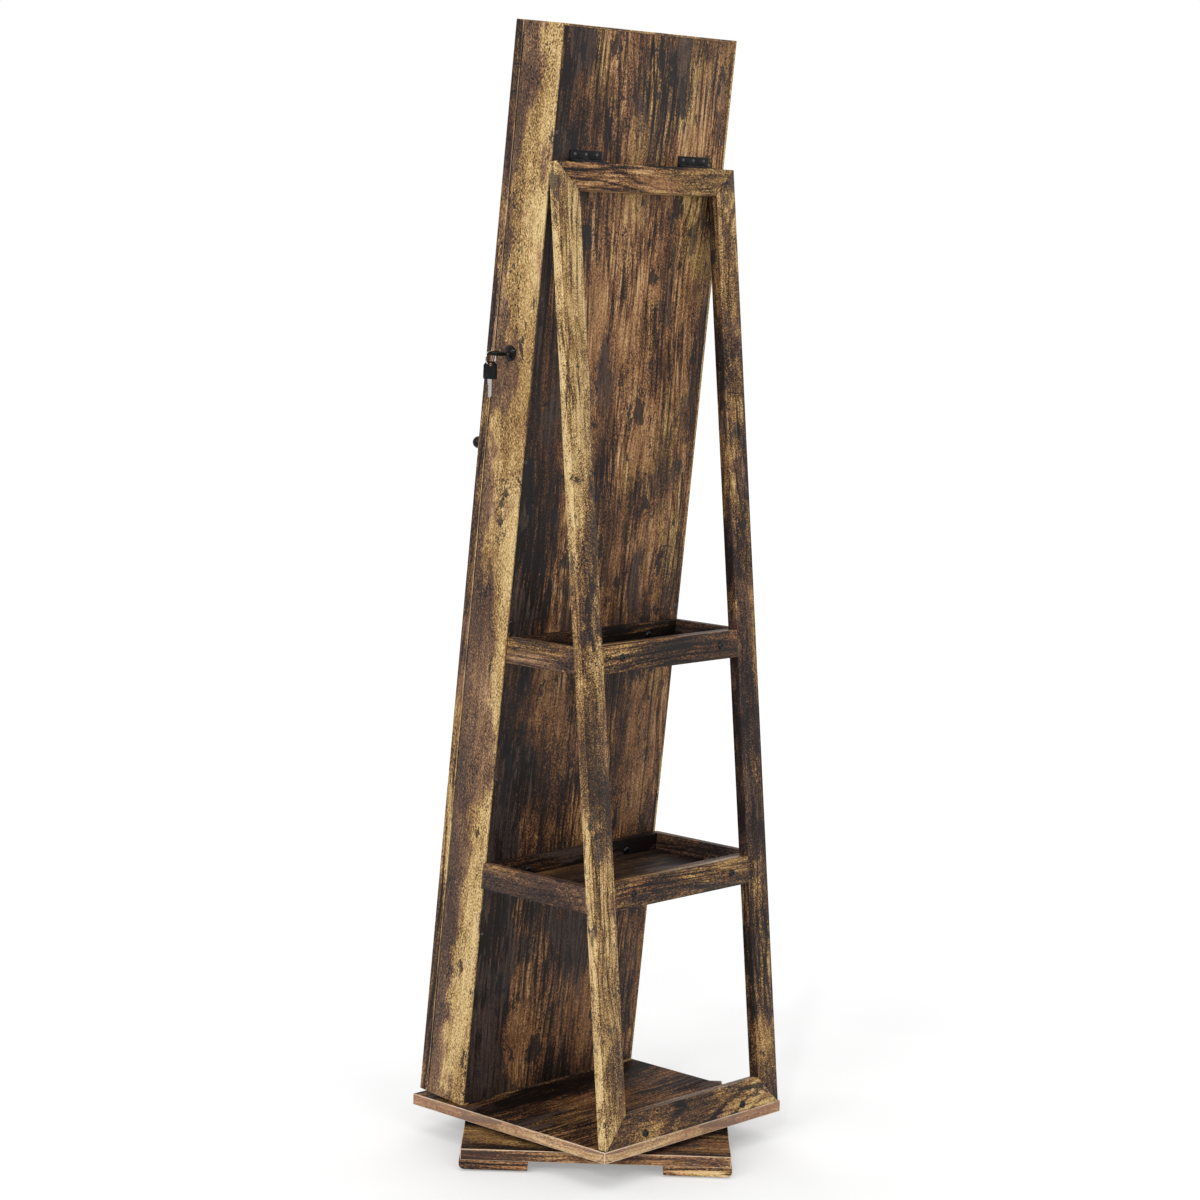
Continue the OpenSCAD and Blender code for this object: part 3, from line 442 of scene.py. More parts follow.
class Woodgrain(Finish):
    """Rustic woodgrain print on one board, with its grain along z of the board's own frame."""

    def __init__(self, name, seed, short):
        super().__init__(name)
        self.seed = seed
        self.board = self.node("Attribute", {"attribute_name": "grain_place"}).outputs["Vector"]
        waver = self.noise(self.board, (5.5, 5.5, 1.6), seed, 2, 0.5, colours=True)
        waver = self.vectors("SUBTRACT", waver, (0.5, 0.5, 0.5))
        waver = self.vectors("MULTIPLY", waver, (0.07, 0.07, 0.0))
        wavering = self.vectors("ADD", self.board, waver)
        self.axes = self.node("SeparateXYZ", Vector=wavering).outputs
        self.along = self.mapped(wavering, (1, 1, short))
        self.cloud = self.field("cloud")
        self.streak = self.field("streak")
        self.line = self.field("line")
        self.fleck = self.field("fleck")
        self.swell = self.field("swell")
        self.lined = self.between(self.field("lined"), 0.42, 0.6, 0.3, 1.0)
        self.rich = self.between(self.field("rich"), 0.45, 0.62)

    def vectors(self, operation, a, b):
        return self.node("VectorMath", {"operation": operation}, _0=a, _1=b).outputs[0]

    def field(self, name):
        scale, step, detail, rough = FIELDS[name]
        return self.noise(self.along, scale, self.seed + step, detail, rough)

    def mark(self, name):
        """A mark that dressed() or grained() left on the faces."""
        return self.node("Attribute", {"attribute_name": name}).outputs["Fac"]

    def add(self, tone, field, amount):
        """The tone with this much of a field about its middle."""
        return self.sum("MULTIPLY_ADD", self.sum("SUBTRACT", field, 0.5), amount, tone)

    def lighter(self, tone, mark, amount):
        """The tone, lighter where the mark is, or darker where the amount is below 0."""
        return self.sum("MULTIPLY_ADD", mark, amount, tone)

    def grain(self, light, clouds, streaks, lines, flecks, patches):
        """Clouds, streaks, fine lines and flecks about a mean tone, with patches a step lighter or darker."""
        patch = self.add(self.add(self.cloud, self.line, 0.12), self.fleck, 0.25)
        patch = self.between(patch, 0.44, 0.56, -patches, patches)
        tone = self.sum("ADD", patch, self.add(light, self.cloud, 1.5 * clouds))
        tone = self.add(tone, self.streak, 0.7 * streaks)
        tone = self.add(tone, self.line, self.sum("MULTIPLY", self.lined, 1.7 * lines))
        return self.add(tone, self.fleck, 1.5 * flecks)

    def growth_rings(self, swirl):
        """Level lines of a stretched field."""
        across = self.sum("MULTIPLY", self.sum("ADD", self.axes[0], self.axes[1]), 84.0)
        rise = self.sum("MULTIPLY_ADD", self.line, 0.5, across)
        rise = self.sum("MULTIPLY_ADD", self.swell, 9.0 * swirl, rise)
        wave = self.sum("SINE", self.sum("MULTIPLY", rise, 2 * pi))
        return self.sum("MULTIPLY", self.between(wave, 0.35, 0.97), self.lined)

    def plank_joint(self, plank):
        """A thin straight joint between printed planks, faded out in places."""
        across = self.node("SeparateXYZ", Vector=self.board).outputs[0]
        far = self.sum("ABSOLUTE", self.sum("SUBTRACT", across, plank))
        return self.sum("MULTIPLY", self.between(far, 0.0005, 0.0013, 1.0, 0.0),
                        self.between(self.swell, 0.42, 0.5))

    def pores(self):
        """Short pores, crowded in places."""
        return self.sum("MULTIPLY", self.between(self.field("pore"), 0.55, 0.6), self.rich)

    def charred(self, base, char, ash):
        """The colour with charred grey stretches that have jagged ends."""
        shades = self.between(self.add(self.line, self.fleck, 0.7), 0.3, 0.72)
        grey = self.blend(shades, colour(32, 26, 26), colour(90, 73, 64))
        return self.blend(self.between(char, ash, ash + 0.022, 0.0, 0.86), base, grey)

    def knotted(self, base, blots):
        """The colour with ink-dark knots."""
        ink = self.add(self.field("ink"), self.rich, 0.05)
        level = 0.72 - 0.12 * blots
        return self.blend(self.between(ink, level, level + 0.015, 0.0, 0.85), base, colour(30, 27, 30))

    def nailed(self, base, nails):
        """The colour with small dark nail marks, about this many to a metre."""
        cells = self.mapped(self.board, (nails, 0, nails), (self.seed, 0, self.seed * 2))
        holes = self.node("TexVoronoi", Vector=cells, Scale=1.0)
        near = self.sum("LESS_THAN", self.sum("DIVIDE", holes.outputs["Distance"], nails), 0.0024)
        return self.blend(self.sum("MULTIPLY", near, 0.9), base, colour(20, 17, 18))


def wood(name, seed, light=0.4, clouds=1.0, streaks=1.0, lines=1.0, rings=0.3, swirl=1.0, flecks=1.0,
         short=1.0, ash=0.57, blots=0.5, cast=RUST, share=0.5, shade=0.0, patches=0.1, nails=0.0, planks=(),
         bands=(), rim=0.0, edge=0.1, pink=0.0, sheen=0.2):
    """Woodgrain print for a board. light is its mean tone. clouds, streaks, lines, rings, flecks, blots and
    patches are the strengths of those marks, swirl bends the rings, and short makes all marks shorter. ash is
    the level over which it is charred grey. cast is the second cast, share how much of the board has it, and
    shade how much darker it is there. nails is how many nail marks come to a metre, and planks are the places
    of joints across the board. bands are stretches that change the tone, as (axis, from, to, change); some of
    them are painted shade. rim is how much lighter the rounded edges are, for wear and a painted edge
    highlight, or, below 0, how much darker, for a painted shadow line. edge and pink are how much lighter and
    redder the edge band is, and sheen is its gloss."""
    f = Woodgrain(name, seed, short)
    ring = f.growth_rings(swirl)
    pore = f.pores()
    tone = f.grain(light, clouds, streaks, lines, flecks, patches)
    tone = f.lighter(tone, ring, -rings)
    for plank in planks:
        tone = f.lighter(tone, f.plank_joint(plank), -0.4)
    tone = f.lighter(tone, pore, -0.5 * flecks)

    # Stretches that change the tone, the second cast and the charring, with edges that wander
    warm = f.field("warm")
    char = f.add(f.field("char"), f.line, 0.22)
    if bands:
        wander = f.sum("MULTIPLY_ADD", f.field("wander"), 0.12, -0.06)
        for axis, low, high, change in bands:
            across = f.sum("ADD", f.axes["XYZ".index(axis)], wander)
            change = f.between(across, low, high, 0.0, change)
            tone = f.sum("ADD", tone, change)
            warm = f.lighter(warm, change, -0.8)
            char = f.lighter(char, change, -0.15)

    # Patches of the second cast with crisp edges
    warm = f.between(f.add(warm, f.fleck, 0.05), 0.6 - 0.2 * share, 0.66 - 0.2 * share)
    tone = f.lighter(tone, warm, -shade)

    # Edge band, and rounded edges lighter or darker, more in some places than in others: wear and a painted
    # edge highlight where rim is above 0, a painted shadow line where it is below
    band = f.mark("band")
    tone = f.lighter(tone, band, edge)
    edge_wear_and_light = f.sum("MULTIPLY", f.mark("edge_wear_and_light"), f.between(f.field("edge_mark_spread"), 0.3, 0.6, 0.35, 1.0))
    tone = f.sum("MULTIPLY_ADD", edge_wear_and_light, rim, tone, clamp=True)

    base = f.blend(warm, f.ramp(tone, GOLD), f.ramp(tone, cast))
    base = f.charred(base, char, ash)
    base = f.knotted(base, blots)
    if nails:
        base = f.nailed(base, nails)
    base = f.blend(f.sum("MULTIPLY", band, pink), base, colour(196, 160, 140))
    # Pale rounded edges: wear and a painted edge highlight
    if rim > 0:
        base = f.blend(f.sum("MULTIPLY", edge_wear_and_light, min(1.0, rim)), base, colour(214, 190, 164))

    sunk = f.sum("MULTIPLY_ADD", ring, -0.4, f.sum("MULTIPLY", pore, -0.7))
    f.bump(f.sum("ADD", f.sum("MULTIPLY", f.line, 0.8), sunk), 0.4, 0.12)
    gloss = f.between(f.streak, 0.3, 0.7, 0.46, 0.62)
    return f.surface_is(Base_Color=base, Roughness=gloss, Specular_IOR_Level=sheen)


def metal(name, tone, rough, brushed, seed, marks=0.0):
    """Bare or plated metal with faint brushing and handling marks."""
    f = Finish(name)
    grime = f.noise(f.place, (90, 90, 90), seed, 4, 0.6)
    scratch = f.noise(f.place, (900, 160, 900), seed + 1, 2, 0.5)
    dark = tuple(c * 0.62 for c in tone[:3]) + (1,)
    base = f.blend(f.between(grime, 0.35, 0.75, 0.0, 0.3 + marks), tone, dark)
    f.bump(scratch, 0.1 + brushed, 0.02)
    gloss = f.between(grime, 0.3, 0.7, rough * 0.8, rough * 1.35)
    return f.surface_is(Base_Color=base, Metallic=1.0, Roughness=gloss)


def black(name, tone, rough, seed, grit=400, strength=0.25, sheen=0.2):
    """Black paint, plastic or rubber with a fine texture and dusty variation."""
    f = Finish(name)
    cloud = f.noise(f.place, (70, 70, 70), seed, 4, 0.6)
    grain = f.noise(f.place, (grit * 5,) * 3, seed + 1, 2, 0.6)
    base = f.blend(f.between(cloud, 0.35, 0.75, 0.0, 0.5), tone, tuple(c * 1.9 for c in tone[:3]) + (1,))
    f.bump(grain, strength, 0.03)
    gloss = f.between(cloud, 0.3, 0.7, rough * 0.85, min(1.0, rough * 1.2))
    return f.surface_is(Base_Color=base, Roughness=gloss, Specular_IOR_Level=sheen)


def velvet(name, tone, seed):
    """Short pile with nap: soft clouds of lighter and darker pile and a sheen."""
    f = Finish(name)
    nap = f.noise(f.place, (16, 16, 9), seed, 4, 0.6)
    pile = f.noise(f.place, (2600, 2600, 2600), seed + 1, 2, 0.6)
    tuft = f.noise(f.place, (500, 500, 500), seed + 2, 3, 0.6)
    shade = f.sum("MULTIPLY_ADD", f.sum("SUBTRACT", tuft, 0.5), 0.8, nap)
    base = f.blend(f.between(shade, 0.3, 0.75), tone, tuple(c * 2.6 for c in tone[:3]) + (1,))
    f.bump(f.sum("ADD", pile, tuft), 0.6, 0.15)
    return f.surface_is(Base_Color=base, Roughness=0.95, Sheen_Weight=0.5, Sheen_Roughness=0.4)


def mirror_finish():
    """Silvered glass with a faint haze."""
    f = Finish("mirror_silver")
    haze = f.noise(f.place, (25, 25, 6), 3, 3, 0.6)
    base = f.blend(f.between(haze, 0.35, 0.75, 0.0, 0.1), colour(228, 231, 231), colour(212, 217, 217))
    gloss = f.between(haze, 0.35, 0.7, 0.012, 0.03)
    return f.surface_is(Base_Color=base, Metallic=1.0, Roughness=gloss)


hinge_black = black("hinge_black_paint", colour(11, 11, 13), 0.34, 1, sheen=0.16)
bolt_black = black("bolt_black_oxide", colour(10, 10, 11), 0.28, 2, sheen=0.3)
screw_black = metal("screw_black_chrome", colour(92, 92, 96), 0.3, 0.1, 3)
knob_black = black("knob_black_lacquer", colour(7, 7, 8), 0.14, 4, grit=120, strength=0.06, sheen=0.2)
lock_black = black("lock_black_lacquer", colour(5, 5, 7), 0.1, 5, grit=150, strength=0.04, sheen=0.17)
key_black = black("key_black_plastic", colour(9, 10, 12), 0.34, 6, sheen=0.14)
foot_black = black("foot_pad_rubber", colour(20, 19, 18), 0.85, 7, strength=0.5)
bearing_zinc = metal("bearing_zinc_plate", colour(176, 178, 182), 0.38, 0.1, 8, 0.2)
ball_chrome = metal("ball_bearing_steel", colour(214, 216, 220), 0.12, 0, 9)
key_nickel = metal("key_nickel_plate", colour(208, 206, 200), 0.22, 0.1, 10)
blade_steel = metal("key_blade_steel", colour(192, 190, 186), 0.24, 0.2, 16, 0.4)
cam_zinc = metal("cam_zinc_plate", colour(168, 168, 166), 0.4, 0.15, 11, 0.2)
rod_brass = metal("rod_satin_brass", colour(196, 158, 92), 0.3, 0.1, 12)
lining_velvet = velvet("lining_black_velvet", colour(26, 24, 25), 13)
pad_velvet = velvet("ring_pad_velvet", colour(32, 29, 30), 14)


# Looks of the wooden boards, where they differ from the plain print

SIDE_LOOK = dict(
    light=0.71, clouds=0.6, streaks=0.5, lines=0.4, rings=0.05, flecks=1.25, short=1.3, ash=0.67, cast=MAUVE,
    share=0.66, shade=0.06, blots=0.8, patches=0.05, edge=-0.1,
    bands=[("Y", -0.04, -0.005, 0.1), ("Y", -0.04, -0.07, -0.17), ("Z", 1.02, 1.12, 0.08),
           ("Z", 1.26, 1.38, -0.1)])
# The bands paint shade: darker along the strip by the lock-side panel, from x 0.085 outwards, and darker
# towards the bottom.
BACK_LOOK = dict(
    light=0.51, streaks=0.55, lines=1.5, rings=0.3, swirl=1.5, flecks=1.0, short=1.35, ash=0.58, blots=1.1,
    share=0.9, patches=0.07, nails=9, planks=(-0.141, -0.043, 0.029),
    bands=[("X", 0.085, 0.115, -0.38), ("Z", 0.75, 0.15, -0.16)])
STILE_LOOK = dict(light=0.5, ash=0.64, cast=MAUVE, share=0.3, edge=-0.06, rim=0.3)
# edge=0.2 paints the legs' side faces lighter: painted light where the lock-side leg's outer side faces the
# light
LEG_LOOK = dict(
    streaks=0.8, lines=0.9, flecks=1.35, short=2.0, ash=0.62, cast=MAUVE, share=0.5, shade=0.1, blots=0.9,
    edge=0.2, patches=0.1, rim=-0.15)
# rim=-0.15 here, in BOTTOM_BAR_LOOK and in LEG_LOOK paints the rounded edges of the bars and legs darker: a
# painted shadow line along their edges
TOP_BAR_LOOK = dict(
    light=0.46, lines=1.3, swirl=2.0, rings=0.4, ash=0.64, share=0.15, patches=0.06, rim=-0.15)
BOTTOM_BAR_LOOK = dict(
    light=0.53, lines=1.3, swirl=2.5, rings=0.6, ash=0.72, blots=1.0, share=0.3, rim=-0.15)
RAIL_LOOK = dict(light=0.4, clouds=0.75, ash=0.75, share=0.35)
# Its band paints shade: the tray side rails darker towards their -x end.
TRAY_LOOK = dict(ash=0.65, cast=MAUVE, share=0.9, flat=0, bands=[("X", 0.0, -0.05, -0.25)])
# A near-black tone for the trays' floors and inner rails: painted shade inside the trays.
PAINTED_SHADE_INSIDE_LOOK = dict(light=0.05, clouds=0.7, edge=0, sheen=0.1)
PLATFORM_LOOK = dict(
    light=0.23, clouds=1.0, swirl=2.0, share=0.9, rim=0.95, edge=0.68, pink=0.34, sheen=0.02)
FOOT_LOOK = dict(light=0.7, rings=0.5, swirl=2, blots=1.0, ash=0.64, share=0.6, edge=0, flat=1)

# Wooden boards

# Edges of a board longer than this many millimetres are rounded, and those of its holes stay crisp
LONG_EDGE = 6

BOARDS = {
    # node: (seed, grain, rounding in mm, look)
    "lock_side_panel": (11, GRAIN_CABINET, 0.7, SIDE_LOOK),
    "hinge_side_panel": (23, GRAIN_CABINET, 0.7, SIDE_LOOK),
    "top_panel": (31, GRAIN_RAIL, 0.7, dict(light=0.5, rim=0.3)),
    "bottom_panel": (37, GRAIN_RAIL, 0.7, dict(light=0.4)),
    "back_panel": (41, GRAIN_CABINET, 0.3, BACK_LOOK),
    "door_lock_stile": (53, GRAIN_CABINET, 0.9, STILE_LOOK),
    "door_hinge_stile": (59, GRAIN_CABINET, 0.9, STILE_LOOK),
    "door_top_rail": (61, GRAIN_RAIL, 0.9, dict(light=0.46, rim=0.2)),
    "door_bottom_rail": (67, GRAIN_RAIL, 0.9, dict(light=0.42)),
    "frame_lock_side_leg": (71, GRAIN_FRAME, 0.8, dict(
        LEG_LOOK, light=0.45, bands=[("Z", 0.5, 0.9, 0.18), ("Z", 0.16, 0.05, 0.2)])),
    # edge=-0.2 paints the hinge-side leg's side faces darker: painted shade on its inner side
    "frame_hinge_side_leg": (73, GRAIN_FRAME, 0.8, dict(LEG_LOOK, light=0.37, lines=1.2, edge=-0.2)),
    "frame_top_bar": (79, GRAIN_BAR, 0.8, TOP_BAR_LOOK),
    "frame_bottom_bar": (83, GRAIN_BAR, 0.8, BOTTOM_BAR_LOOK),
    "frame_upper_rail": (89, GRAIN_BAR, 0.8, RAIL_LOOK),
    "frame_lower_rail": (97, GRAIN_BAR, 0.8, dict(RAIL_LOOK, light=0.37)),
    "upper_tray_floor": (101, GRAIN_ACROSS, 0.5, PAINTED_SHADE_INSIDE_LOOK),
    "lower_tray_floor": (103, GRAIN_ACROSS, 0.5, PAINTED_SHADE_INSIDE_LOOK),
    "upper_tray_side_rails": (107, GRAIN_DEEP, 0.7, dict(TRAY_LOOK, light=0.42)),
    "lower_tray_side_rails": (109, GRAIN_DEEP, 0.7, dict(TRAY_LOOK, light=0.52)),
    "upper_tray_back_rail": (113, GRAIN_ACROSS, 0.7, PAINTED_SHADE_INSIDE_LOOK),
    "lower_tray_back_rail": (127, GRAIN_ACROSS, 0.7, PAINTED_SHADE_INSIDE_LOOK),
    "upper_tray_front_rail": (131, GRAIN_ACROSS, 0.7, dict(PAINTED_SHADE_INSIDE_LOOK, rim=0.3)),
    "lower_tray_front_rail": (137, GRAIN_ACROSS, 0.7, dict(PAINTED_SHADE_INSIDE_LOOK, rim=0.3)),
    "platform_board": (139, GRAIN_ACROSS, 1.1, PLATFORM_LOOK),
    "base_board": (149, GRAIN_BASE, 1.0, dict(light=0.24, rim=0.8, edge=0.22, pink=0.08, sheen=0.08)),
    "foot_blocks": (151, GRAIN_BASE, 0.8, FOOT_LOOK),
    "wedge_blocks": (157, GRAIN_ACROSS, 0.4, dict(light=0.3, flat=0)),
    "frame_cleat": (163, GRAIN_ACROSS, 0.5, dict(light=0.32)),
    "inner_shelves": (167, GRAIN_ACROSS, 0.5, dict(light=0.36, flat=0)),
    "necklace_bar": (173, GRAIN_RAIL, 1.2, dict(light=0.36)),
}
for node, (seed, grain, rounding, look) in BOARDS.items():
    look = dict(look)
    flat = look.pop("flat", None)
    board = dressed(node, rounding, longer=LONG_EDGE)
    grained(board, grain, flat)
    finished(board, wood(node + "_woodgrain", seed, **look), node)

# Mirror and lining

finished(dressed("mirror_glass", 0.6), mirror_finish(), "mirror_glass")
finished(dressed("mirror_board", 0.4), velvet("mirror_board_felt", colour(30, 27, 26), 15), "mirror_board")
finished(dressed("lining_panel", 0.4), lining_velvet, "lining_panel")

# Plates, pads and hinges that keep the part's own shapes, with their edges rounded

PLATES = {
    # node: (finish, rounding in mm, steps of the rounding)
    "foot_pads": (foot_black, 0.6, 3),
    "turntable_lower_plate": (bearing_zinc, 0.15, 2),
    "turntable_upper_plate": (bearing_zinc, 0.15, 2),
    "frame_hinge_cabinet_leaves": (hinge_black, 0.2, 2),
    "frame_hinge_frame_leaves": (hinge_black, 0.2, 2),
    "door_hinge_case_leaves": (hinge_black, 0.15, 2),
    "door_hinge_door_leaves": (hinge_black, 0.15, 2),
    "hinge_pins": (hinge_black, 0.2, 2),
    "lock_cam": (cam_zinc, 0.2, 2),
    "lock_strike": (cam_zinc, 0.2, 2),
    "earring_bars": (rod_brass, 0.2, 2),
}
for node, (finish, rounding, steps) in PLATES.items():
    finished(dressed(node, rounding, steps), finish, node)

# Screws and balls that keep the part's own solids

for node, finish in [("platform_screws", bearing_zinc), ("lower_plate_screws", bearing_zinc),
                     ("turntable_balls", ball_chrome)]:
    NODES[node].data.materials.clear()
    NODES[node].data.materials.append(finish)

# Bolts

BOLT_X = 0.1035
BAR_BOLT_Z = 0.0105
RAIL_TOPS = (0.686, 0.362)
RAIL_HEIGHT = 0.039
RAIL_PROUD = 0.001
TRAY_BOLT_Y = 0.0121
TRAY_BOLT_RISE = 0.020075


def connecting_bolts():
    """Button-head bolts with a hex socket: three a side in the frame, two a side in the trays' back rails."""
    bolt = turned("connecting_bolt", [
        (2.9, -24), (2.9, 0), (5.0, 0), (5.4, 0.3), (5.4, 0.8), (5.2, 1.4), (4.8, 1.95), (4.2, 2.5),
        (3.4, 2.9), (2.6, 3.1), (1.3, 3.15)])
    deselect()
    bpy.ops.mesh.primitive_cylinder_add(vertices=6, radius=1.75 * MM, depth=4 * MM, location=(0, 0, 3.4 * MM))
    cut(bolt, bpy.context.object)
    frame_heads = [(RAIL_PROUD, top - RAIL_HEIGHT / 2) for top in RAIL_TOPS] + [(0, BAR_BOLT_Z)]
    tray_feet = [(top - RAIL_HEIGHT) * cos(FRAME_LEAN) for top in RAIL_TOPS]
    places = []
    for x in (-BOLT_X, BOLT_X):
        places += [FRAME @ move(x, y, z) @ AWAY_FROM_BACK for y, z in frame_heads]
        places += [CABINET @ move(x, TRAY_BOLT_Y, (foot + TRAY_BOLT_RISE) / cos(LEAN)) @ AWAY_FROM_BACK
                   for foot in tray_feet]
    return copies(bolt, "connecting_bolts_finished", places)


finished(connecting_bolts(), bolt_black, "connecting_bolts")

# Screws

BACK_INSET = 0.0008
BACK_SCREW_X = 0.1715
BACK_SCREWS = 7
BACK_SCREW_FOOT = 30
BACK_SCREW_PITCH = 224
HINGE_X = 0.111
LEAF_SCREW_XS = (-0.02176, 0, 0.02176)
LEAF_SCREW_UP = 0.00868
LEAF_SCREW_OUT = 0.00992
LEAF_THICKNESS = 0.0014

# The frame hinges' axis, a barrel's rise above the top bar and the cabinet's back
SPREAD = FRAME_LEAN + LEAN
BARREL_RADIUS = 0.0027
BARREL_RISE = 0.0028
BARREL_OUT = (BARREL_RADIUS + BARREL_RISE * sin(SPREAD)) / cos(SPREAD)
HINGE_Y = (FRAME_FOOT_Y + (BARREL_OUT - BOARD) * cos(FRAME_LEAN)
           - (FRAME_LENGTH + BARREL_RISE) * sin(FRAME_LEAN))
HINGE_Z = (PLATFORM_TOP + (BARREL_OUT - BOARD) * sin(FRAME_LEAN)
           + (FRAME_LENGTH + BARREL_RISE) * cos(FRAME_LEAN))


def cabinet_screws():
    """Cross-head screws along the back panel's edges and in the frame hinges' leaves."""
    screw = turned("cabinet_screw", [
        (0.3, -12), (1.4, -10), (1.5, 0), (2.3, 0), (2.62, 0.12), (2.5, 0.38), (2.0, 0.62), (1.2, 0.72)],
        sides=24)
    for angle in (0, 90):
        slot = block("cross", (-1.5, -0.32, 0.2), (1.5, 0.32, 2))
        cut(screw, placed(slot, turn("Z", angle)))
    places = [CABINET @ move(x, -BACK_INSET, (BACK_SCREW_FOOT + BACK_SCREW_PITCH * i) * MM) @ AWAY_FROM_BACK
              for i in range(BACK_SCREWS) for x in (-BACK_SCREW_X, BACK_SCREW_X)]
    for middle in (-HINGE_X, HINGE_X):
        axis = move(middle, HINGE_Y, HINGE_Z)
        on_cabinet = axis @ Matrix.Rotation(-LEAN, 4, "X")
        on_frame = axis @ Matrix.Rotation(FRAME_LEAN, 4, "X")
        for x in LEAF_SCREW_XS:
            places.append(on_cabinet @ move(x, LEAF_THICKNESS - BARREL_RISE - BACK_INSET, LEAF_SCREW_UP)
                          @ AWAY_FROM_BACK)
            places.append(on_frame @ move(x, LEAF_SCREW_OUT - BARREL_OUT, LEAF_THICKNESS - BARREL_RISE))
    return copies(screw, "cabinet_screws_finished", places)


finished(cabinet_screws(), screw_black, "cabinet_screws")

# Lock, in millimetres about its own axis, with the side panel's face at height 0

LOCK_PLACE = CABINET @ move(HALF_WIDTH, LOCK_Y, LOCK_Z) @ turn("Y", 90)
BARREL_END = (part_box("lock_body")[0].x - HALF_WIDTH) / MM
TAIL_END = (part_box("lock_plug")[0].x - HALF_WIDTH) / MM
FACE_RADIUS = 11
DOME_RADIUS = 14.5
DOME_CENTRE = -9.1
DOME_STEPS = 8


def dome_height(radius):
    """Height of the lock's ball-shaped face at this distance from its axis."""
    return (DOME_RADIUS ** 2 - radius ** 2) ** 0.5 + DOME_CENTRE


def dome(outer, inner):
    """Steps over the lock's face, from one radius in to another."""
    radii = [outer + (inner - outer) * i / DOME_STEPS for i in range(DOME_STEPS + 1)]
    return [(radius, dome_height(radius)) for radius in radii]


def lock_body():
    """The barrel with its domed flange, bored for the plug."""
    barrel = [(5.6, BARREL_END), (8.1, BARREL_END), (8.5, BARREL_END + 0.5), (8.5, 0), (FACE_RADIUS, 0)]
    sunk_rim = [(7.1, dome_height(7.1) - 0.1), (6.95, 3.2), (6.95, 2.85), (5.6, 2.85)]
    lock = turned("lock_body_finished", barrel + dome(FACE_RADIUS, 7.4) + sunk_rim, sides=48, smooth=40)
    cut(lock, turned("bore", [(5.5, BARREL_END - 2), (5.5, 8)], sides=48))
    return placed(lock, LOCK_PLACE)


def lock_plug():
    """The plug with its keyway, its face sunk into the flange, and the square tail that carries the cam."""
    plug = turned("lock_plug_finished",
                  [(5.4, BARREL_END + 2), (5.4, 2.82), (6.85, 2.82), (6.85, 3.5)] + dome(6.6, 1),
                  sides=48, smooth=40)
    tail = block("tail", (-3.5, -3.5, TAIL_END), (3.5, 3.5, BARREL_END + 3), 0.3)
    cut(plug, block("keyway", (-1.05, -3.65, TAIL_END - 2), (1.05, 3.65, 8)))
    return placed(joined([plug, tail], "lock_plug_finished"), LOCK_PLACE)


finished(lock_body(), lock_black, "lock_body")
finished(lock_plug(), lock_black, "lock_plug")

# Door knob

KNOB_X = 0.1605
KNOB_Z = 0.937


def door_knob():
    """A ball on a waisted neck, with a stem into the stile."""
    neck = [(2.5, -9), (2.5, -0.5), (6.0, 0), (6.3, 0.5), (6.3, 1.4), (5.9, 2.0), (4.6, 2.5), (3.7, 4.0),
            (3.4, 6.0), (3.5, 7.8), (4.2, 9.4)]
    knob = turned("door_knob_finished", neck + ball(8.6, 17, -58, 84, 16), sides=48, smooth=50)
    return placed(knob, CABINET @ move(KNOB_X, -DOOR_FRONT, KNOB_Z) @ TOWARDS_FRONT)


finished(door_knob(), knob_black, "door_knob")

# Rods inside, in millimetres in the cabinet's own place

ROD_END = 171
PANEL_FACE = 166.9
SHELF_RODS = 5
FIRST_ROD_Z = 161
ROD_PITCH = 120
ROD_Y = -62
BRACELET_Y = -37.8
BRACELET_Z = 870


def rod(radius, y, z):
    """A round bar with a small ring at each side panel, sunk 4 mm into both."""
    collar = radius + 2
    end = [(radius, -ROD_END), (radius, -PANEL_FACE), (collar, -PANEL_FACE), (collar, -PANEL_FACE + 1.6),
           (collar - 0.8, -PANEL_FACE + 2.4), (radius, -PANEL_FACE + 2.4)]
    bar = turned("rod", end + [(r, -height) for r, height in reversed(end)], sides=24)
    return placed(bar, CABINET @ move(0, y * MM, z * MM) @ turn("Y", 90))


rods = [rod(2, ROD_Y, FIRST_ROD_Z + ROD_PITCH * i) for i in range(SHELF_RODS)]
rods.append(rod(9, BRACELET_Y, BRACELET_Z))
finished(joined(rods, "inner_rods_finished"), rod_brass, "inner_rods")

# Necklace hooks

HOOKS = 12
HOOK_PITCH = 26
HOOK_BAR_FACE = -0.0218
HOOK_Z = 1.455
HOOK_BEND = 4
HOOK_TIP = (0, -20, 7)


def necklace_hooks():
    """Wires in a row along the bar, each bent up at the front with a ball on its tip."""
    bend = [(0, -16 - HOOK_BEND * sin(radians(a)), HOOK_BEND - HOOK_BEND * cos(radians(a)))
            for a in range(15, 91, 15)]
    hook = wire("necklace_hook", [(0, 7, 0), (0, -16, 0)] + bend + [HOOK_TIP], 1.3)
    tip = placed(turned("tip", ball(2.08, 0, -85, 85, 10), sides=20), move(*(Vector(HOOK_TIP) * MM)))
    first_x = -HOOK_PITCH * (HOOKS - 1) / 2
    places = [CABINET @ move((first_x + i * HOOK_PITCH) * MM, HOOK_BAR_FACE, HOOK_Z) for i in range(HOOKS)]
    return copies(joined([hook, tip], "necklace_hook"), "necklace_hooks_finished", places)


finished(necklace_hooks(), rod_brass, "necklace_hooks")

# Keys, in millimetres from the middle of the head's outer end, with the blade towards -x

KEY_END = CABINET @ move(0.219, LOCK_Y, LOCK_Z)
RING_RIM = Vector((0.21725, -0.040594, 1.125304))
SPARE_DROP = 0.0106
SPARE_END = Matrix.Translation(RING_RIM - Vector((0, 0, SPARE_DROP))) @ turn("Z", 12) @ turn("Y", -90)


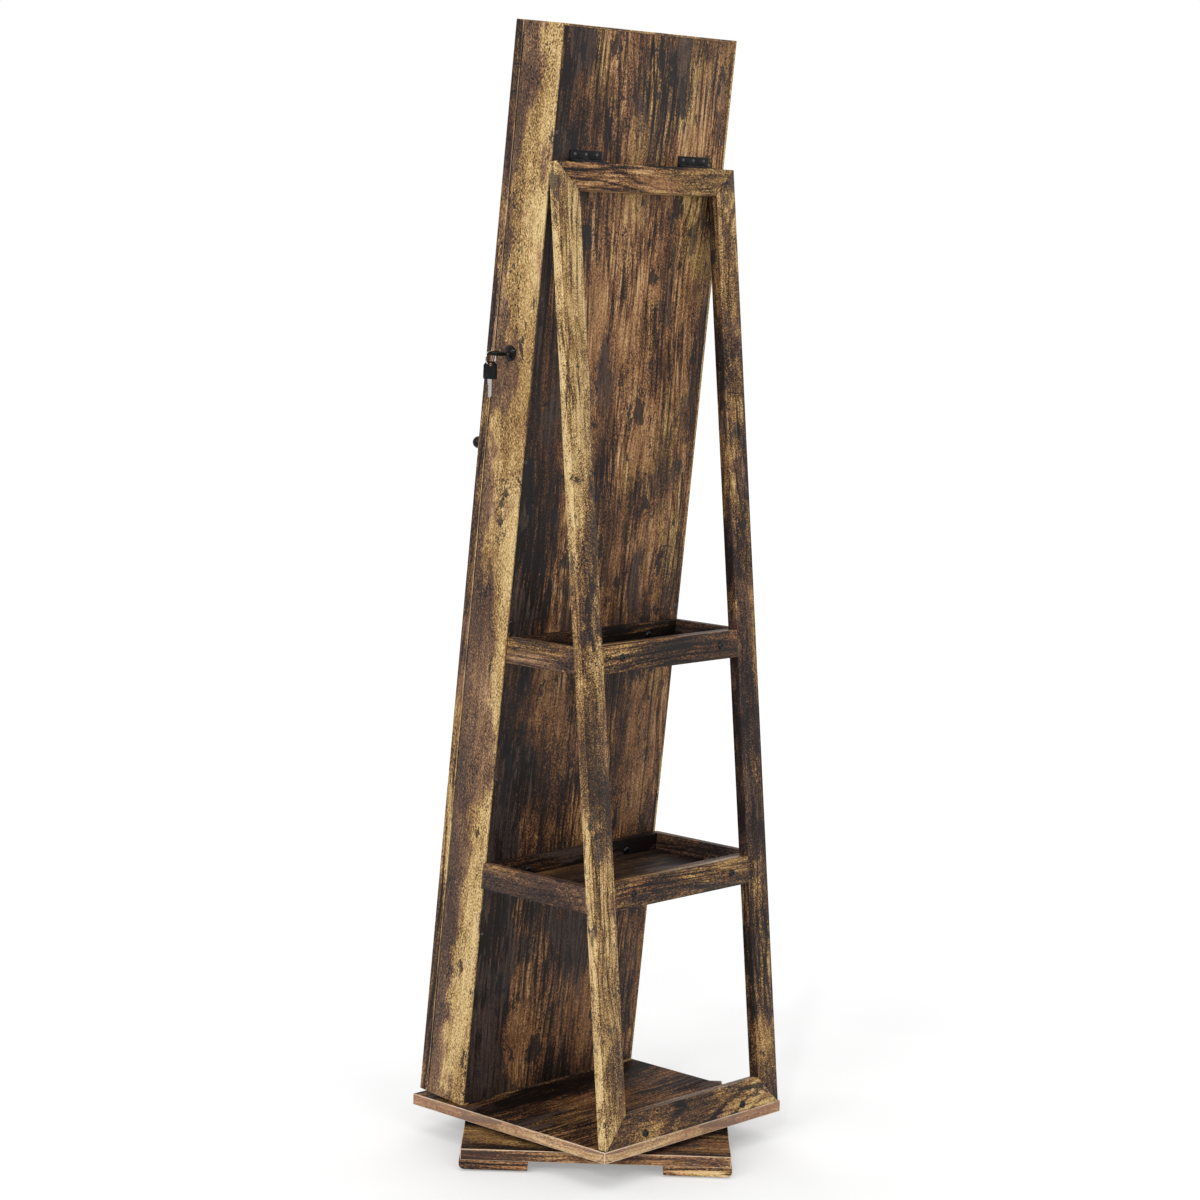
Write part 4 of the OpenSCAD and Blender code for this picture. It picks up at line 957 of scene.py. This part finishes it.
def outlined(name, outline, low, high):
    """A flat plate of this outline between two heights, in millimetres."""
    deselect()
    bpy.ops.mesh.primitive_circle_add(vertices=len(outline), radius=MM, fill_type="NGON")
    plate = bpy.context.object
    plate.name = name
    for vertex, (x, y) in zip(plate.data.vertices, outline):
        vertex.co = Vector((x, y, low)) * MM
    edit(plate)
    bpy.ops.mesh.extrude_region_move(TRANSFORM_OT_translate={"value": (0, 0, (high - low) * MM)})
    leave()
    tidy(plate)
    return plate


def key_cover(name, where):
    """The key's head: a rubbery cover with slanted shoulders, a slot for the ring and two sunk panels."""
    cover = outlined(name, [(0, -5.2), (0, 5.2), (-5, 9.6), (-22.5, 9.9), (-24, 9.0), (-24, -9.0),
                            (-22.5, -9.9), (-5, -9.6)], -2.1, 2.1)
    cut(cover, block("slot", (-6.3, -3.6, -4), (-2.2, 3.6, 4), 0.6))
    cut(cover, block("blade_slot", (-30, -3.55, -0.92), (-14, 3.55, 0.92)))
    for height in (1.7, -2.7):
        cut(cover, placed(block("panel", (-21.5, -7.2, 0), (-9, 7.2, 1), 0.35), move(0, 0, height * MM)))
    shaped(cover, "BEVEL", width=0.55 * MM, segments=3, limit_method="ANGLE", angle_limit=radians(35))
    bpy.ops.object.shade_smooth_by_angle(angle=radians(40))
    return placed(cover, where)


def key_steel(name, where):
    """The flat blade: milled along both sides and cut along one edge."""
    cuts = [(-47.2, -2.2), (-45, -1.3), (-43.4, -2.6), (-41.6, -0.8), (-39.5, -2.8), (-37.6, -1.5),
            (-35.8, -2.9), (-33.9, -0.9), (-32, -2.7), (-30.4, -1.8), (-28.5, -3.3), (-14.5, -3.3)]
    blade = outlined(name, [(-14.5, 3.3), (-46.6, 3.3), (-48.8, 1.4), (-48.8, -0.8)] + cuts, -0.9, 0.9)
    for height in (0.45, -1.45):
        cut(blade, block("milling", (-60, -0.3, height), (-25, 1.9, height + 1), 0.15))
    shaped(blade, "BEVEL", width=0.12 * MM, segments=2, limit_method="ANGLE", angle_limit=radians(25))
    bpy.ops.object.shade_smooth_by_angle(angle=radians(30))
    return placed(blade, where)


finished(key_cover("key_head_finished", KEY_END), key_black, "key_head")
finished(key_cover("spare_key_head_finished", SPARE_END), key_black, "spare_key_head")
finished(key_steel("key_blade_finished", KEY_END), blade_steel, "key_blade")
finished(key_steel("spare_key_blade_finished", SPARE_END), blade_steel, "spare_key_blade")

# Key ring

RING_DROP = 0.0061
RING_RADIUS = 9.3
RING_WIRE = 0.48
RING_TURNS = 1.94
RING_WIDTH = 1.94
RING_START = 0.5
RING_STEPS = 110


def key_ring():
    """A split ring: two close turns of round wire that hang on the key's rim."""
    line = []
    for i in range(RING_STEPS + 1):
        part = i / RING_STEPS
        angle = part * 2 * pi * RING_TURNS + RING_START
        line.append((RING_RADIUS * sin(angle), (part - 0.5) * RING_WIDTH, RING_RADIUS * cos(angle)))
    ring = wire("key_ring_finished", line, RING_WIRE)
    return placed(ring, Matrix.Translation(RING_RIM - Vector((0, 0, RING_DROP))))


finished(key_ring(), key_nickel, "key_ring")

# Ring pad, in millimetres in the cabinet's own place

PAD_LOW = 650
PAD_HIGH = 800
PAD_HALF = 152
ROLLS = 10
ROLL_Y = -17.7
ROLL_STRETCH = 1.36


def ring_pad():
    """Rolls of velvet, deeper than they are tall, on a backing board."""
    pitch = (PAD_HIGH - PAD_LOW) / ROLLS
    backing_half = PAD_HALF + 0.5
    pieces = [block("backing", (-backing_half, -17, PAD_LOW + 1), (backing_half, -9.9, PAD_HIGH - 1), 1.5)]
    for i in range(ROLLS):
        round_end = [(3.2, -PAD_HALF), (6.2, -PAD_HALF + 1.2), (7.3, -PAD_HALF + 3.4)]
        outline = round_end + [(7.45, 0)] + [(r, -height) for r, height in reversed(round_end)]
        roll = turned("roll", outline, sides=24, smooth=50)
        roll.data.transform(Matrix.Diagonal((ROLL_STRETCH, 1, 1, 1)))
        middle = PAD_LOW + (i + 0.5) * pitch
        pieces.append(placed(roll, move(0, ROLL_Y * MM, middle * MM) @ turn("Y", 90) @ turn("Z", 90)))
    whole = placed(joined(pieces, "ring_pad_finished"), CABINET)
    tidy(whole, 50)
    return whole


pad = ring_pad()
finished(pad, pad_velvet, "ring_pad")

# Floor

FLOOR_GLOW = 0.29


def floor_finish():
    """Pale matt floor. Its glow shows only to the camera and in reflections, and doesn't light the object."""
    f = Finish("floor_white")
    soft = f.noise(f.place, (3, 3, 3), 1, 2, 0.5)
    base = f.blend(f.between(soft, 0.3, 0.7), colour(214, 214, 214), colour(219, 219, 219))
    f.surface_is(Base_Color=base, Roughness=0.9, Specular_IOR_Level=0.1)
    path = f.node("LightPath")
    seen = f.sum("MAXIMUM", path.outputs["Is Camera Ray"],
                 f.sum("MAXIMUM", path.outputs["Is Glossy Ray"], path.outputs["Is Transmission Ray"]))
    glow = f.node("Emission", Color=(1, 1, 1, 1), Strength=f.sum("MULTIPLY", seen, FLOOR_GLOW))
    added = f.node("AddShader", _0=f.surface.outputs[0], _1=glow.outputs[0])
    f.tree.links.new(added.outputs[0], f.output.inputs["Surface"])
    return f.material


deselect()
bpy.ops.mesh.primitive_plane_add(size=24, location=(0, 0, 0))
floor = bpy.context.object
floor.name = "studio_floor"
floor.data.materials.append(floor_finish())

# Backdrop: white where it is seen, and half as bright where it lights

AMBIENT = 0.5


def backdrop(tree):
    """Fills the world's node tree."""
    tree.nodes.clear()
    path = tree.nodes.new("ShaderNodeLightPath")
    lights = tree.nodes.new("ShaderNodeBackground")
    lights.inputs["Color"].default_value = (1, 1, 1, 1)
    lights.inputs["Strength"].default_value = AMBIENT
    shown = tree.nodes.new("ShaderNodeBackground")
    shown.inputs["Color"].default_value = (1, 1, 1, 1)
    shown.inputs["Strength"].default_value = 1.0
    seen = path.outputs["Is Camera Ray"]
    for ray in ("Is Glossy Ray", "Is Transmission Ray"):
        either = tree.nodes.new("ShaderNodeMath")
        either.operation = "MAXIMUM"
        tree.links.new(seen, either.inputs[0])
        tree.links.new(path.outputs[ray], either.inputs[1])
        seen = either.outputs[0]
    mix = tree.nodes.new("ShaderNodeMixShader")
    tree.links.new(seen, mix.inputs[0])
    tree.links.new(lights.outputs[0], mix.inputs[1])
    tree.links.new(shown.outputs[0], mix.inputs[2])
    tree.links.new(mix.outputs[0], tree.nodes.new("ShaderNodeOutputWorld").inputs["Surface"])


world = bpy.data.worlds.new("studio")
bpy.context.scene.world = world
world.use_nodes = True
backdrop(world.node_tree)

# Lamps

LAMPS_AIM_AT = Vector((0, 0, 0.8))


def lamp(name, place, power, spread, mirrored=True):
    """A wide soft light from the direction of a place, the same over the whole floor. One that isn't mirrored
    leaves no bright disc on the door's glass."""
    light = bpy.data.lights.new(name, "SUN")
    light.energy = power
    light.angle = radians(spread)
    lamp_object = bpy.data.objects.new(name, light)
    lamp_object.location = place
    lamp_object.rotation_euler = (LAMPS_AIM_AT - Vector(place)).to_track_quat("-Z", "Y").to_euler()
    lamp_object.visible_glossy = mirrored
    bpy.context.scene.collection.objects.link(lamp_object)


lamp("softbox_side", (5.0, 0.6, 3.2), 0.9, 35)
lamp("softbox_front", (1.6, 5.0, 2.6), 0.55, 40)
lamp("softbox_far", (-4.0, -3.6, 3.4), 0.9, 45, mirrored=False)
lamp("overhead", (0.4, 0.8, 6.0), 0.75, 60, mirrored=False)
lamp("window", (3.6, 2.2, 3.4), 0.4, 3)

# Camera, at the photograph's viewing angle

CAMERA_PLACE = (3.1036, 2.8163, 1.2941)
CAMERA_HEADING = 222.47
CAMERA_DIP = 7.03
CAMERA_ROLL = 1.78

lens = bpy.data.cameras.new("camera")
lens.sensor_width = 36
lens.lens = 89.66
lens.clip_start = 0.05
lens.clip_end = 60
camera = bpy.data.objects.new("camera", lens)
camera.matrix_world = (move(*CAMERA_PLACE) @ turn("Z", CAMERA_HEADING - 90) @ turn("X", 90 - CAMERA_DIP)
                       @ turn("Z", CAMERA_ROLL))
bpy.context.scene.collection.objects.link(camera)
bpy.context.scene.camera = camera
bpy.context.scene.view_settings.view_transform = "Standard"

# Scene brought up to date

bpy.context.view_layer.update()
